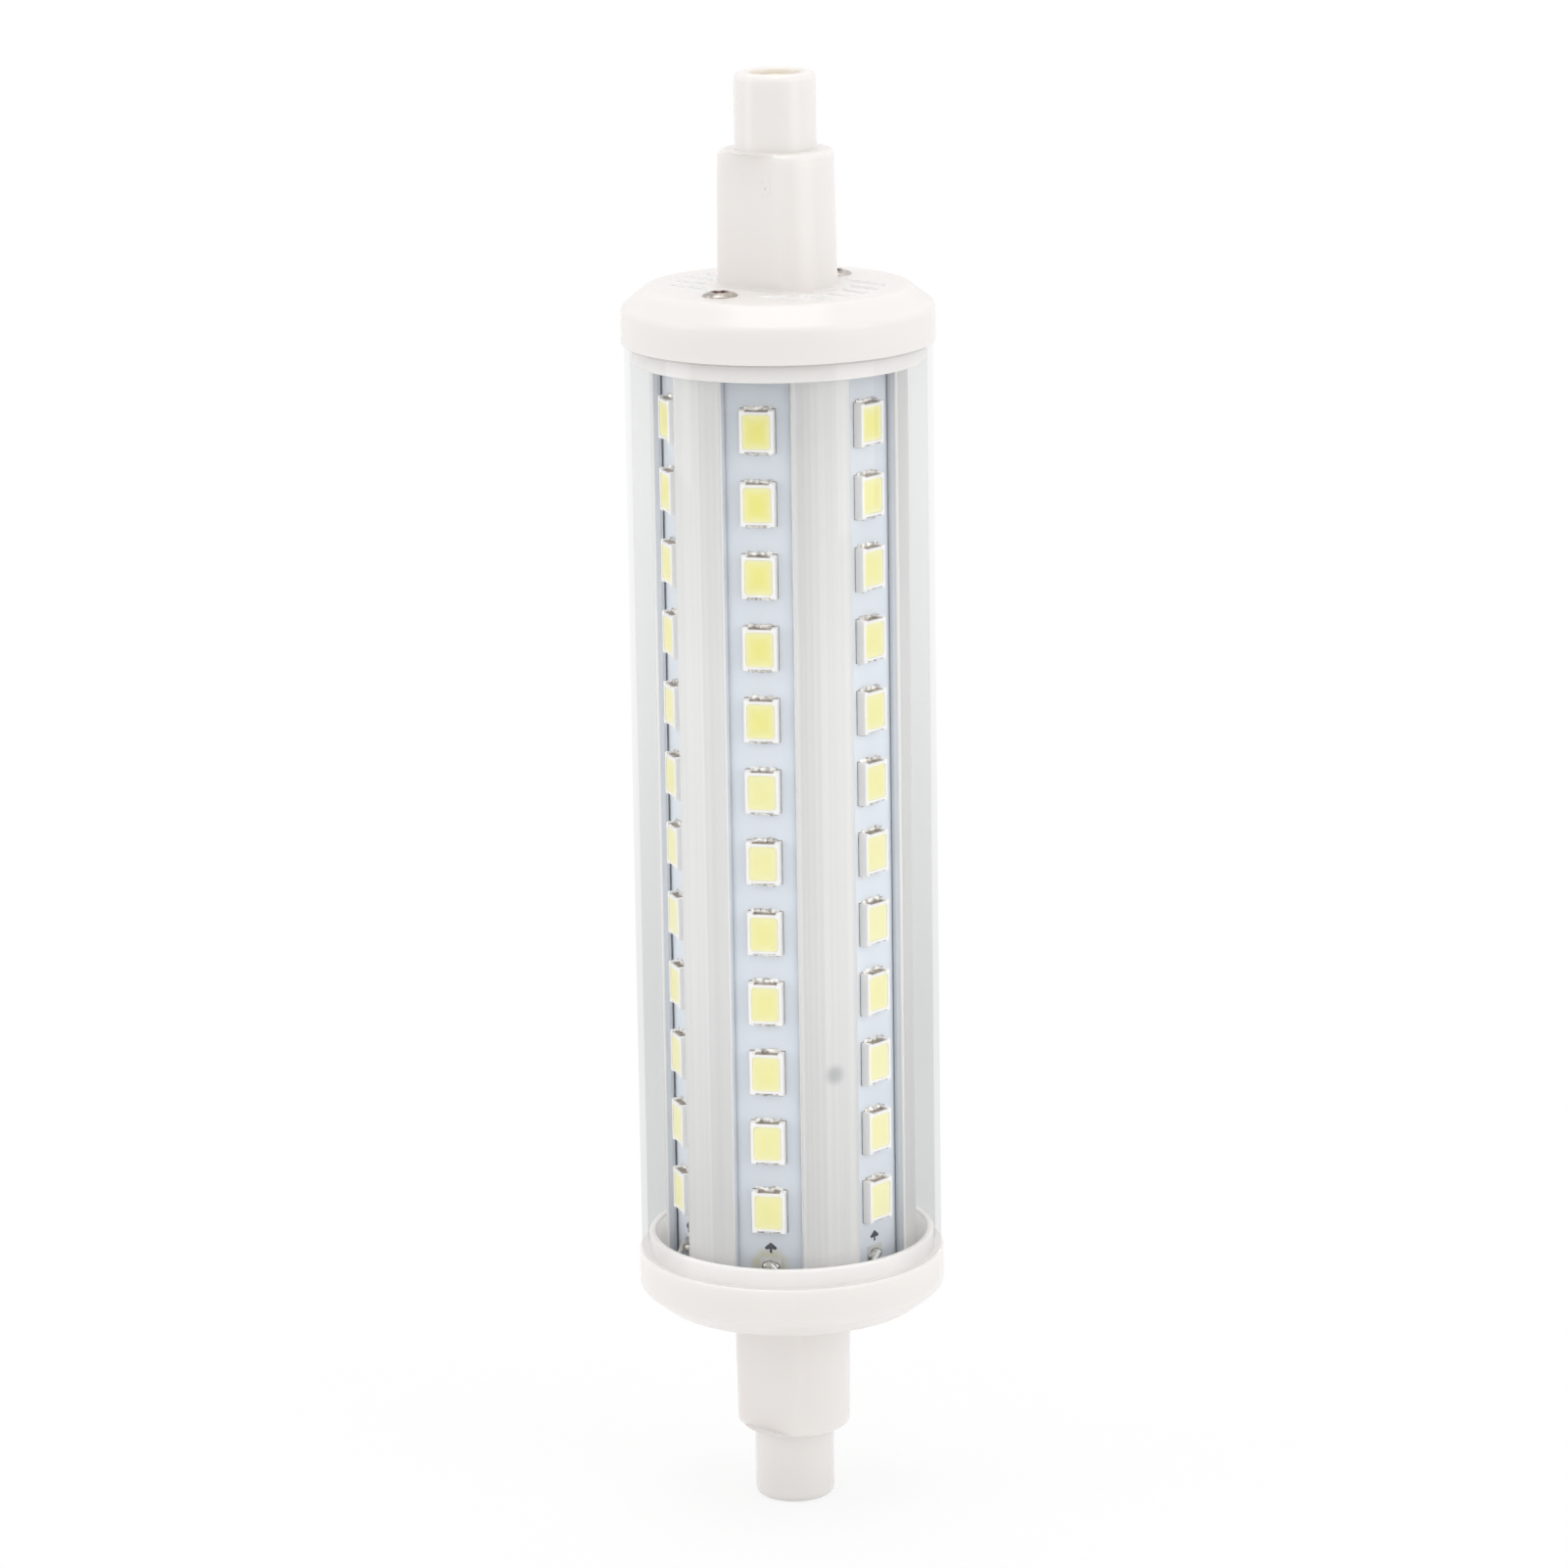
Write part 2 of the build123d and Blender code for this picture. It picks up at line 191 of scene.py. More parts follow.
def noise(place, scale, detail):
    """Soft noise from nought to one."""
    sockets = {"Vector": place, "Scale": scale, "Detail": detail}
    return add(place.id_data, "ShaderNodeTexNoise", sockets).outputs["Fac"]


def own_place(tree):
    """Place on the piece itself, in metres."""
    return add(tree, "ShaderNodeTexCoord").outputs["Object"]


def attribute(tree, name):
    """Value that a mesh carries on its points."""
    return add(tree, "ShaderNodeAttribute", attribute_name=name).outputs["Fac"]


def painted(red, green, blue):
    """Turn a colour, given from 0 to 255, into the renderer's linear values."""
    parts = [channel / 255 for channel in (red, green, blue)]
    linear = [part / 12.92 if part <= 0.04045 else ((part + 0.055) / 1.055) ** 2.4 for part in parts]
    return (*linear, 1.0)


print("value helpers ready")

# %% [markdown]
# ## Floor, world and lamps
# The lamp was photographed in a white set: soft light from the sides and from above, and a darker
# room behind the camera. That darker side is what gives bare metal its grey middle. The world makes
# it with a gradient round the camera's direction. Camera rays, and rays through the clear tube, see
# plain white instead. The floor is white too, and still takes a soft shadow.

# %% World and floor
def seen_directly(tree):
    """Light path of a tree, and the mask of the rays that should meet the white set itself."""
    path = add(tree, "ShaderNodeLightPath").outputs
    return path, maths("MAXIMUM", path["Is Camera Ray"], path["Is Transmission Ray"])


room_side = Vector((math.sin(view_azimuth), -math.cos(view_azimuth), 0))
world = bpy.data.worlds.new("white_set")
world.use_nodes = True
scene.world = world
sky = world.node_tree
sky.nodes.clear()
direction = add(sky, "ShaderNodeTexCoord").outputs["Generated"]
facing = vector_maths("DOT_PRODUCT", direction, {1: room_side})["Value"]
shade = ramp(facing, 0.55, 0.98, 0.89, 0.66, "SMOOTHSTEP")
room = add(sky, "ShaderNodeBackground", {"Color": (1, 1, 1, 1), "Strength": shade})
white = add(sky, "ShaderNodeBackground", {"Color": (1, 1, 1, 1), "Strength": 1.0})
mixed = add(sky, "ShaderNodeMixShader", {0: seen_directly(sky)[1], 1: room.outputs[0], 2: white.outputs[0]})
add(sky, "ShaderNodeOutputWorld", {"Surface": mixed.outputs[0]})

floor_mesh = bpy.data.meshes.new("floor")
reach = 4.0
floor_corners = [(-reach, -reach), (reach, -reach), (reach, reach), (-reach, reach)]
floor_mesh.from_pydata([(*corner, cad_low.z) for corner in floor_corners], [], [(0, 1, 2, 3)])
floor = bpy.data.objects.new("floor", floor_mesh)
scene.collection.objects.link(floor)
paper = bpy.data.materials.new("white_paper")
paper.use_nodes = True
sheet = paper.node_tree
paper_shader = sheet.nodes["Principled BSDF"]
plug(paper_shader, {"Base Color": (0.9, 0.9, 0.9, 1), "Roughness": 0.9})
glow = add(sheet, "ShaderNodeEmission", {"Color": (1, 1, 1, 1), "Strength": 1.0})
path, direct = seen_directly(sheet)
direct = maths("MAXIMUM", direct, path["Is Glossy Ray"])
from_lamp = vector_maths("LENGTH", own_place(sheet))["Value"]
lifted = times(direct, ramp(from_lamp, 0.08, 0.3, 0.8, 1.0))
surface = add(sheet, "ShaderNodeMixShader", {0: lifted, 1: paper_shader.outputs[0], 2: glow.outputs[0]})
plug(sheet.nodes["Material Output"], {"Surface": surface.outputs[0]})
floor_mesh.materials.append(paper)
print("floor at", round(cad_low.z / mm, 2), "mm")

# %% [markdown]
# Three soft boxes light the lamp: one on each side, seen as long pale bands in the tube and the caps,
# and one overhead. Brightness is stated as what a box's face shows, so a box can change its size
# without changing how strong its mirror image is.

# %% Soft lamps
def softbox(name, azimuth, height, distance, width, tall, brightness):
    """Flat lamp that points at the middle of the object; its azimuth is counted from the camera's."""
    lamp = bpy.data.lights.new(name, "AREA")
    lamp.shape = "RECTANGLE"
    lamp.size = width
    lamp.size_y = tall
    lamp.energy = brightness * math.pi * width * tall
    holder = bpy.data.objects.new(name, lamp)
    scene.collection.objects.link(holder)
    turn = Matrix.Rotation(view_azimuth + math.radians(azimuth), 4, "Z")
    turn = turn @ Matrix.Rotation(math.radians(90 - height), 4, "X")
    holder.matrix_world = turn @ Matrix.Translation((0, 0, distance))


softbox("right_box", 58, 8, 1.0, 0.56, 1.2, 1.04)
softbox("left_box", -80, 12, 1.2, 0.5, 1.2, 1.06)
softbox("overhead_box", 2, 88, 1.0, 0.62, 0.9, 1.36)
print("three lamps")

# %% [markdown]
# ## Effects that several finishes share
# Real surfaces are never one flat colour. Four small shader groups bring that: a slow drift of tone,
# a fine grain for moulded and cast faces, long lines for drawn metal, and scattered dust. A fifth
# is painted shade: it darkens the colour towards the core's two ends, which sit deep between the
# caps. Each is built once, and every material sets its own strength. They read Object coordinates,
# so the pattern is fixed to the piece and keeps its real scale.

# %% Drift of tone and fine grain
FLOAT = "NodeSocketFloat"
COLOUR = "NodeSocketColor"

tone_drift, drift_in, drift_out = open_group(
    "tone_drift", "ShaderNodeTree",
    [("Colour", COLOUR, (0.8, 0.8, 0.8, 1)), ("Drift", FLOAT, 0.05), ("Scale", FLOAT, 120.0)],
    [("Colour", COLOUR)])
cloud = noise(own_place(tone_drift), drift_in["Scale"], 3.0)
swing = times(minus(cloud, 0.5), drift_in["Drift"])
level = plus(swing, 1.0)
plug(drift_out, {"Colour": scaled(drift_in["Colour"], level)})

fine_grain, grain_in, grain_out = open_group(
    "fine_grain", "ShaderNodeTree",
    [("Scale", FLOAT, 2500.0), ("Middle", FLOAT, 0.4), ("Spread", FLOAT, 0.1)],
    [("Height", FLOAT), ("Roughness", FLOAT)])
grit = noise(own_place(fine_grain), grain_in["Scale"], 4.0)
offset = times(minus(grit, 0.5), grain_in["Spread"])
plug(grain_out, {"Height": grit, "Roughness": plus(offset, grain_in["Middle"])})
print("drift and grain ready")

# %% [markdown]
# Drawn lines are noise stretched along the axis, once fine and once broad. Dust keeps a few of the
# cells of a cell pattern, and shows a dot in each. The painted end shade darkens the colour more, the
# farther it is from the middle.

# %% Drawn lines, dust and painted end shade
drawn_lines, lines_in, lines_out = open_group(
    "drawn_lines", "ShaderNodeTree",
    [("Fineness", FLOAT, 2600.0), ("Length", FLOAT, 9.0)],
    [("Height", FLOAT), ("Streaks", FLOAT)])
stretch = add(drawn_lines, "ShaderNodeCombineXYZ",
              {0: lines_in["Fineness"], 1: lines_in["Fineness"], 2: lines_in["Length"]}).outputs[0]
pulled = vector_maths("MULTIPLY", own_place(drawn_lines), {1: stretch})[0]
broad = scaled(pulled, 0.22)
plug(lines_out, {"Height": noise(pulled, 1.0, 3.0), "Streaks": noise(broad, 1.0, 2.0)})

dust_specks, dust_in, dust_out = open_group(
    "dust_specks", "ShaderNodeTree",
    [("Scale", FLOAT, 450.0), ("Size", FLOAT, 0.05), ("Share", FLOAT, 0.2)], [("Mask", FLOAT)])
cells = add(dust_specks, "ShaderNodeTexVoronoi",
            {"Vector": own_place(dust_specks), "Scale": dust_in["Scale"]})
near = maths("LESS_THAN", cells.outputs["Distance"], dust_in["Size"])
pick = add(dust_specks, "ShaderNodeSeparateColor", {"Color": cells.outputs["Color"]})
chosen = maths("LESS_THAN", pick.outputs[0], dust_in["Share"])
plug(dust_out, {"Mask": times(near, chosen)})

# Painted shade: this group darkens a colour towards both ends, where the caps keep light off.
painted_end_shade, shade_in, shade_out = open_group(
    "painted_end_shade", "ShaderNodeTree",
    [("Colour", COLOUR, (0.8, 0.8, 0.8, 1)), ("From", FLOAT, 12 * mm), ("To", FLOAT, 37 * mm),
     ("Depth", FLOAT, 0.12)],
    [("Colour", COLOUR)])
along = add(painted_end_shade, "ShaderNodeSeparateXYZ", {0: own_place(painted_end_shade)}).outputs[2]
off_middle = maths("ABSOLUTE", along)
sunk = ramp(off_middle, shade_in["From"], shade_in["To"], 0.0, shade_in["Depth"])
kept_light = minus(1.0, sunk)
plug(shade_out, {"Colour": scaled(shade_in["Colour"], kept_light)})
print("shader groups", [group.name for group in bpy.data.node_groups])

# %% [markdown]
# ## Plain finishes
# Most pieces need the same three things: a colour that drifts a little, a roughness that varies with
# the grain, and a slight bump. One function makes such a finish, and gives back its parts so that a
# later cell can add what one piece alone has.

# %% A finish with drift, grain and bump
relief_depth = 0.02 * mm


def bumps(height, strength):
    """Normal of a surface with a little relief."""
    sockets = {"Strength": strength, "Distance": relief_depth, "Height": height}
    return add(height.id_data, "ShaderNodeBump", sockets).outputs["Normal"]


def finish(name, colour, roughness, metallic=0.0, drift=0.06, drift_scale=150.0, grain=2500.0, bump=0.03,
           spread=0.12):
    """Material with a Principled shader; returns it with its tree, shader and colour group."""
    material = bpy.data.materials.new(name)
    material.use_nodes = True
    tree = material.node_tree
    shader = tree.nodes["Principled BSDF"]
    tone = use(tree, tone_drift, {"Colour": colour, "Drift": drift, "Scale": drift_scale})
    grit = use(tree, fine_grain, {"Scale": grain, "Middle": roughness, "Spread": spread})
    relief = bumps(grit.outputs["Height"], bump)
    plug(shader, {"Base Color": tone.outputs["Colour"], "Metallic": metallic,
                  "Roughness": grit.outputs["Roughness"], "Normal": relief})
    return material, tree, shader, tone


print("finishes use", tone_drift.name, "and", fine_grain.name)

# %% [markdown]
# The finishes that need nothing more are one table. It gives each slot the finish's name, a colour, a
# roughness, and what differs from the function's own values.

# %% Table of plain finishes
plain_finishes = {
    # The seam's dark ring is painted shade.
    "seam_dirt": ("seam_dirt", (150, 147, 144), 0.5, dict(drift=0.6, drift_scale=500.0)),
    "contact_brass": ("turned_brass", (252, 240, 206), 0.4, dict(metallic=0.35, grain=3200.0)),
    "link_wire_tin": ("tinned_wire", (222, 222, 220), 0.25, dict(metallic=1.0, drift=0.15)),
    "feed_insulation": ("feed_insulation", (228, 226, 220), 0.4, {}),
    "contact_wire_insulation": ("contact_wire_insulation", (226, 224, 218), 0.4, {}),
    "sleeve_film": ("milky_film", (228, 228, 222), 0.45, {}),
    "driver_laminate": ("driver_laminate", (52, 108, 66), 0.45, dict(drift=0.2)),
    "component_black": ("moulding_compound", (38, 38, 40), 0.55, dict(drift=0.3, bump=0.15)),
    "fuse_coating": ("resistor_coating", (132, 152, 156), 0.5, dict(drift=0.12, bump=0.12)),
    "capacitor_sleeve": ("shrink_sleeve", (44, 50, 66), 0.3, dict(drift=0.12)),
    "ferrite": ("ferrite", (62, 62, 64), 0.7, dict(drift=0.25, bump=0.25)),
    "winding_copper": ("enamelled_copper", (172, 98, 52), 0.3,
                       dict(metallic=0.9, drift=0.3, drift_scale=700.0)),
    "solder": ("bright_solder", (206, 203, 197), 0.2,
               dict(metallic=1.0, drift=1.8, drift_scale=1800.0, bump=0.5)),
    "pad_tin": ("pad_tin", (206, 206, 204), 0.5, dict(metallic=0.6, drift=0.4, drift_scale=1600.0)),
    "led_lead": ("tinned_lead", (236, 232, 226), 0.3,
                 dict(metallic=0.8, drift=2.6, drift_scale=2800.0, bump=0.6)),
    # The LED's dark outline and end plates: flux's brown and painted shade.
    "flux_film": ("flux_film", (146, 134, 121), 0.4, dict(drift=2.4, drift_scale=1500.0)),
    "board_ink": ("board_ink", (72, 74, 80), 0.5, dict(drift=0.3, drift_scale=2500.0))}
looks = {}
for slot, (name, colour, roughness, extra) in plain_finishes.items():
    looks[slot] = finish(name, painted(*colour), roughness, **extra)[0]
print(len(looks), "plain finishes")

# %% [markdown]
# ## White plastics and screw steel
# The caps and the LED housings are white plastics that let a little light in. Where a cap's wall is
# thin, at its spigot and in its vents, light comes through, so the mesh marks those points and the
# finish lets light go deeper there; on those walls the colour is also painted near white, as painted
# light. One faint scuff sits on the upper barrel. The screws are coloured brown in their recess,
# which the screw's mesh marks in the same way.

# %% Cap plastic, LED housing and screws
cap_colour = painted(236, 232, 229)
cap_plastic, cap_tree, cap_shader, cap_tone = finish(
    "warm_white_plastic", cap_colour, 0.2, drift=0.02, drift_scale=60.0, grain=1800.0, spread=0.06)
scuff_spot = (2.0 * mm, -3.3 * mm, 50.4 * mm)
cap_place = own_place(cap_tree)
near_scuff = ramp(distance_to(cap_place, scuff_spot), 0.7 * mm, 1.1 * mm, 1.0, 0.0)
curl = noise(cap_place, 1100.0, 1.0)
off_line = maths("ABSOLUTE", minus(curl, 0.5))
hairline = times(maths("LESS_THAN", off_line, 0.02), near_scuff)
scuffed = blend(times(hairline, 0.5), cap_colour, painted(206, 202, 198))
thin_wall_painted_light = attribute(cap_tree, "thin_and_painted_light")
# Painted light: the marked thin walls, at the spigot and in the vents, are painted near white.
plug(cap_tone, {"Colour": blend(thin_wall_painted_light, scuffed, painted(255, 254, 252))})
plug(cap_shader, {"Subsurface Weight": ramp(thin_wall_painted_light, 0.0, 1.0, 0.5, 1.0),
                  "Subsurface Scale": ramp(thin_wall_painted_light, 0.0, 1.0, 1.2 * mm, 6.2 * mm),
                  "Subsurface Radius": (1.0, 0.92, 0.88)})
looks["cap_plastic"] = cap_plastic

housing_plastic, _, housing_shader, _ = finish(
    "led_housing", painted(241, 239, 236), 0.35, drift=0.04, drift_scale=700.0)
plug(housing_shader, {"Subsurface Weight": 0.15, "Subsurface Radius": (1.0, 0.95, 0.9),
                      "Subsurface Scale": 0.3 * mm})
looks["led_housing"] = housing_plastic

screw_colour = painted(196, 190, 183)
screw_steel, screw_tree, _, screw_tone = finish(
    "plated_steel", screw_colour, 0.3, 1.0, drift=1.6, drift_scale=2200.0)
# The recess is coloured brown, most at its floor.
recess_browned = blend(attribute(screw_tree, "recess_brown"), screw_colour, painted(84, 46, 28))
plug(screw_tone, {"Colour": recess_browned})
looks["screw_steel"] = screw_steel
print(len(looks), "finishes so far")

# %% [markdown]
# ## Clear tube finish
# A thin clear tube hardly bends what is seen through it, but it throws a faint mirror image of the
# lamps. So the body of the plastic gets the index of air, and a clear coat gives the mirror image, on
# the faces that look out of the plastic. Seen edge-on, light has a longer way through the wall, so the
# tube greys towards its sides; how much it greys is painted shade, nothing at the top and growing
# lower down, where there is less light to mirror. The painted end shade darkens both ends. A few
# specks of dust lie on it, in its colour alone, because glass keeps one plain transmission weight.
# Lamps would reach the inside only by chance through such a surface, so for shadow rays alone it is
# simply see-through.

# %% Clear plastic
clear_colour, edge_colour = (0.91, 0.912, 0.915, 1), (0.815, 0.819, 0.821, 1)
speck_colour = (0.82, 0.82, 0.82, 1)
clear_plastic, clear_tree, clear_shader, clear_tone = finish(
    "clear_plastic", clear_colour, 0.02, drift=0.01, grain=400.0, bump=0.0, spread=0.01)
specks = use(clear_tree, dust_specks, {"Scale": 260.0, "Size": 0.022, "Share": 0.3})
up_tube = add(clear_tree, "ShaderNodeSeparateXYZ", {0: own_place(clear_tree)}).outputs[2]
behind = add(clear_tree, "ShaderNodeNewGeometry").outputs["Backfacing"]
outward = minus(1.0, behind)
gloss = times(outward, ramp(up_tube, -14 * mm, 14 * mm, 0.2, 1.0))
plug(clear_shader, {"IOR": 1.0, "Transmission Weight": 1.0, "Coat Weight": gloss, "Coat IOR": 1.46,
                    "Coat Roughness": 0.04})
# Painted shade: the edge grey grows lower down, and the end shade darkens both ends.
lower_down = ramp(up_tube, 32 * mm, -18 * mm)
slant = add(clear_tree, "ShaderNodeLayerWeight", {"Blend": 0.5}).outputs["Facing"]
edge_grey_and_painted_shade = times(ramp(slant, 0.3, 0.5), lower_down)
edge_tint = blend(edge_grey_and_painted_shade, clear_colour, edge_colour)
clear_ends = use(clear_tree, painted_end_shade, {"Colour": edge_tint, "From": 27 * mm, "Depth": 0.03})
plug(clear_tone, {"Colour": blend(specks.outputs["Mask"], clear_ends.outputs[0], speck_colour)})
shadow_ray = add(clear_tree, "ShaderNodeLightPath").outputs["Is Shadow Ray"]
see_through = add(clear_tree, "ShaderNodeBsdfTransparent", {"Color": (0.915, 0.917, 0.92, 1)})
clear_mix = add(clear_tree, "ShaderNodeMixShader",
                {0: shadow_ray, 1: clear_shader.outputs[0], 2: see_through.outputs[0]})
plug(clear_tree.nodes["Material Output"], {"Surface": clear_mix.outputs[0]})
looks["clear_plastic"] = clear_plastic
print("clear plastic with", len(clear_tree.nodes), "nodes")

# %% [markdown]
# ## Drawn aluminium
# The core is pulled through a die, which leaves fine lines along its whole length. Stretched noise
# gives them as bump, as streaks of tone and as a changing roughness. The channel walls are painted a
# pale blue and made less metallic, a painted reflection of the boards beside them. The grooves behind
# the lips are painted dark, as painted shade, and the pillars' corners are painted bright, as a
# painted highlight; the painted end shade darkens both ends. Two things are special to this one core:
# a band round the middle row is painted a shade darker, between two lengthwise lines, and one grey
# smudge sits on a pillar.

# %% Aluminium with lengthwise lines
core_radius = 10.2 * mm
aluminium = bpy.data.materials.new("drawn_aluminium")
aluminium.use_nodes = True
metal = aluminium.node_tree
metal_shader = metal.nodes["Principled BSDF"]
drawn = use(metal, drawn_lines, {"Fineness": 4400.0, "Length": 6.0}).outputs
both_lines = plus(times(drawn["Height"], 0.65), times(drawn["Streaks"], 0.35))
streaked = blend(ramp(both_lines, 0.38, 0.62), painted(226, 226, 225), painted(234, 233, 231))
metal_place = own_place(metal)
smudge_azimuth = math.radians(62)
smudge_spot = (core_radius * math.sin(smudge_azimuth), -core_radius * math.cos(smudge_azimuth), -20.4 * mm)
from_smudge = distance_to(metal_place, smudge_spot)
smudge = ramp(from_smudge, 0.2 * mm, 1.1 * mm, 0.45, 0.0, "SMOOTHSTEP")
marked = blend(smudge, streaked, painted(150, 152, 156))
east, north, _ = add(metal, "ShaderNodeSeparateXYZ", {0: metal_place}).outputs
flat_place = add(metal, "ShaderNodeCombineXYZ", {0: east, 1: north}).outputs[0]
from_middle = vector_maths("LENGTH", flat_place)["Value"]
# Painted reflection: the channel walls are painted pale blue, like the boards beside them.
in_channel = ramp(from_middle, 9.96 * mm, 10.0 * mm, 0.85, 0.0)
board_reflection_painted = blend(in_channel, marked, painted(226, 231, 238))
# Painted shade: the grooves behind the lips are painted dark.
in_groove = ramp(from_middle, 9.64 * mm, 9.7 * mm, 0.2, 0.0)
groove_shade_painted = blend(in_groove, board_reflection_painted, painted(70, 76, 86))
# A band round the middle row is painted a shade darker.
azimuth = maths("ARCTAN2", east, times(north, -1.0))
off_band = maths("ABSOLUTE", minus(azimuth, math.radians(28.5)))
banded = scaled(groove_shade_painted, ramp(off_band, math.radians(26), math.radians(26.4), 0.955, 1.0))
# Painted highlight: the pillars' corners are painted bright.
past_channel = ramp(from_middle, 9.99 * mm, 10.02 * mm)
at_corner = times(ramp(from_middle, 10.185 * mm, 10.195 * mm, 0.85, 0.0), past_channel)
corner_highlight_painted = blend(at_corner, banded, painted(252, 252, 250))
metal_ends = use(metal, painted_end_shade, {"Colour": corner_highlight_painted})
plug(metal_shader, {"Base Color": metal_ends.outputs[0], "Metallic": minus(1.0, in_channel),
                    "Roughness": ramp(drawn["Height"], 0.3, 0.7, 0.42, 0.56),
                    "Normal": bumps(drawn["Height"], 0.35)})
looks["drawn_aluminium"] = aluminium
print("aluminium with", len(metal.nodes), "nodes")

# %% [markdown]
# ## Board lacquer and phosphor
# The boards carry a pale blue-grey lacquer with a few specks of dust, and hand soldering left a
# yellow ring of flux at the lower end of the middle board; the painted end shade darkens both ends of
# the boards. The LED's yellow is phosphor in clear resin: deeper in the middle of the window, paler
# at its rim, and not quite the same from one package to the next. It is also painted paler when seen
# aslant, a painted sheen. The rim and the package's own tone come from attributes that the LED meshes
# carry.

# %% Lacquer with flux, phosphor with two attributes
joint_height = 36.6 * mm
board_face = 8.9 * mm
lacquer, lacquer_tree, lacquer_shader, lacquer_tone = finish(
    "board_lacquer", painted(228, 234, 241), 0.34, drift=0.08, drift_scale=90.0, grain=1500.0, bump=0.05)
dust = use(lacquer_tree, dust_specks).outputs["Mask"]
dusted = blend(dust, lacquer_tone.outputs[0], painted(246, 246, 244))
flux_azimuth = math.radians(30)
flux_spot = (board_face * math.sin(flux_azimuth), -board_face * math.cos(flux_azimuth), -joint_height)
lacquer_place = own_place(lacquer_tree)
wander = times(noise(lacquer_place, 900.0, 2.0), 0.9 * mm)
ragged = plus(distance_to(lacquer_place, flux_spot), wander)
flux = ramp(ragged, 1.5 * mm, 2.2 * mm, 0.85, 0.0)
fluxed = blend(flux, dusted, painted(212, 209, 182))
# Painted shade: the end shade darkens the lacquer towards both ends.
lacquer_ends = use(lacquer_tree, painted_end_shade, {"Colour": fluxed})
plug(lacquer_shader, {"Base Color": lacquer_ends.outputs[0]})
looks["board_lacquer"] = lacquer

phosphor, phosphor_tree, _, phosphor_tone = finish(
    "led_phosphor", painted(238, 232, 140), 0.3, drift=0.05, drift_scale=1500.0, grain=6000.0, bump=0.05)
batch = blend(attribute(phosphor_tree, "tone"), painted(241, 237, 184), painted(232, 226, 92))
at_rim = maths("POWER", attribute(phosphor_tree, "rim"), 3.0)
paler = blend(at_rim, batch, painted(243, 240, 190))
# Painted sheen: the phosphor is painted paler where it is seen aslant.
slant = add(phosphor_tree, "ShaderNodeLayerWeight", {"Blend": 0.5}).outputs["Facing"]
aslant_painted_sheen = blend(ramp(slant, 0.08, 0.4, 0.0, 0.3), paler, painted(243, 240, 202))
plug(phosphor_tone, {"Colour": aslant_painted_sheen})
looks["led_phosphor"] = phosphor
print(len(looks), "finishes in all")

# %% [markdown]
# ## Turning profiles into meshes
# Caps, tube, contacts and screws are round, so each is a profile turned about the lamp's axis. The
# profile is a short list of corners, each with its own rounding, because a moulded or turned edge
# is never sharp.

# %% Profile and lathe helpers
def rounded(corners, steps=6):
    """Points of a closed profile; each corner is (radius, height, rounding)."""
    points = []
    for index, (across, height, rounding) in enumerate(corners):
        here = Vector((across, height))
        if rounding == 0:
            points.append(here)
            continue
        back = (Vector(corners[index - 1][:2]) - here).normalized()
        on = (Vector(corners[(index + 1) % len(corners)][:2]) - here).normalized()
        half = back.angle(on) / 2
        centre = here + (back + on).normalized() * rounding / math.sin(half)
        first = here + back * rounding / math.tan(half) - centre
        last = here + on * rounding / math.tan(half) - centre
        bends = [first.slerp(last, step / steps).normalized() for step in range(steps + 1)]
        points += [centre + bend * rounding for bend in bends]
    return points


def full_circle(steps):
    """Angles of points spaced evenly on a circle."""
    return [2 * math.pi * step / steps for step in range(steps)]


def turn_rows(shell, points, segments, shape=None):
    """Rings of points about the lamp's axis, joined by faces; shape can change a radius by angle."""
    rows = []
    for across, height in points:
        row = []
        for angle in full_circle(segments):
            radius = shape(across, height, angle) if shape else across
            row.append(shell.verts.new((radius * math.sin(angle), -radius * math.cos(angle), height)))
        rows.append(row)
    join_rows(shell, rows)
    return rows


def join_rows(shell, rows):
    """Side walls between loops that have the same number of points."""
    for row, following in zip(rows, rows[1:]):
        for index in range(len(row)):
            ahead = (index + 1) % len(row)
            shell.faces.new((row[index], row[ahead], following[ahead], following[index]))


def fill(shell, *loops):
    """Fill the flat area between loops; the fill has a fixed tolerance, so it runs at a larger size."""
    pairs = [(loop[index - 1], loop[index]) for loop in loops for index in range(len(loop))]
    edges = [shell.edges.get(pair) or shell.edges.new(pair) for pair in pairs]
    bmesh.ops.scale(shell, verts=shell.verts, vec=(1000, 1000, 1000))
    bmesh.ops.triangle_fill(shell, edges=edges, use_beauty=True)
    bmesh.ops.scale(shell, verts=shell.verts, vec=(mm, mm, mm))


def lathe(name, points, segments=256):
    """Turn a closed profile into a mesh."""
    shell = bmesh.new()
    turn_rows(shell, points + points[:1], segments)
    return from_bmesh(name, shell)


def from_bmesh(name, shell):
    """Close the seams, turn the faces outwards and make a mesh."""
    bmesh.ops.remove_doubles(shell, verts=shell.verts, dist=1e-7)
    bmesh.ops.recalc_face_normals(shell, faces=shell.faces)
    mesh = bpy.data.meshes.new(name)
    shell.to_mesh(mesh)
    shell.free()
    return mesh


def smooth(mesh, sharp_angle=35):
    """Shade a mesh smooth, with creases where faces meet at more than an angle."""
    mesh.polygons.foreach_set("use_smooth", [True] * len(mesh.polygons))
    mesh.set_sharp_from_angle(angle=math.radians(sharp_angle))
    return mesh


print("profile helpers ready")

# %% [markdown]
# A finished mesh becomes a piece: it takes its finish, rides on the lamp's one body and hides the
# solid it stands for. Curves and geometry trees need an object that carries them for a moment, and
# only the plain mesh that they make is kept.

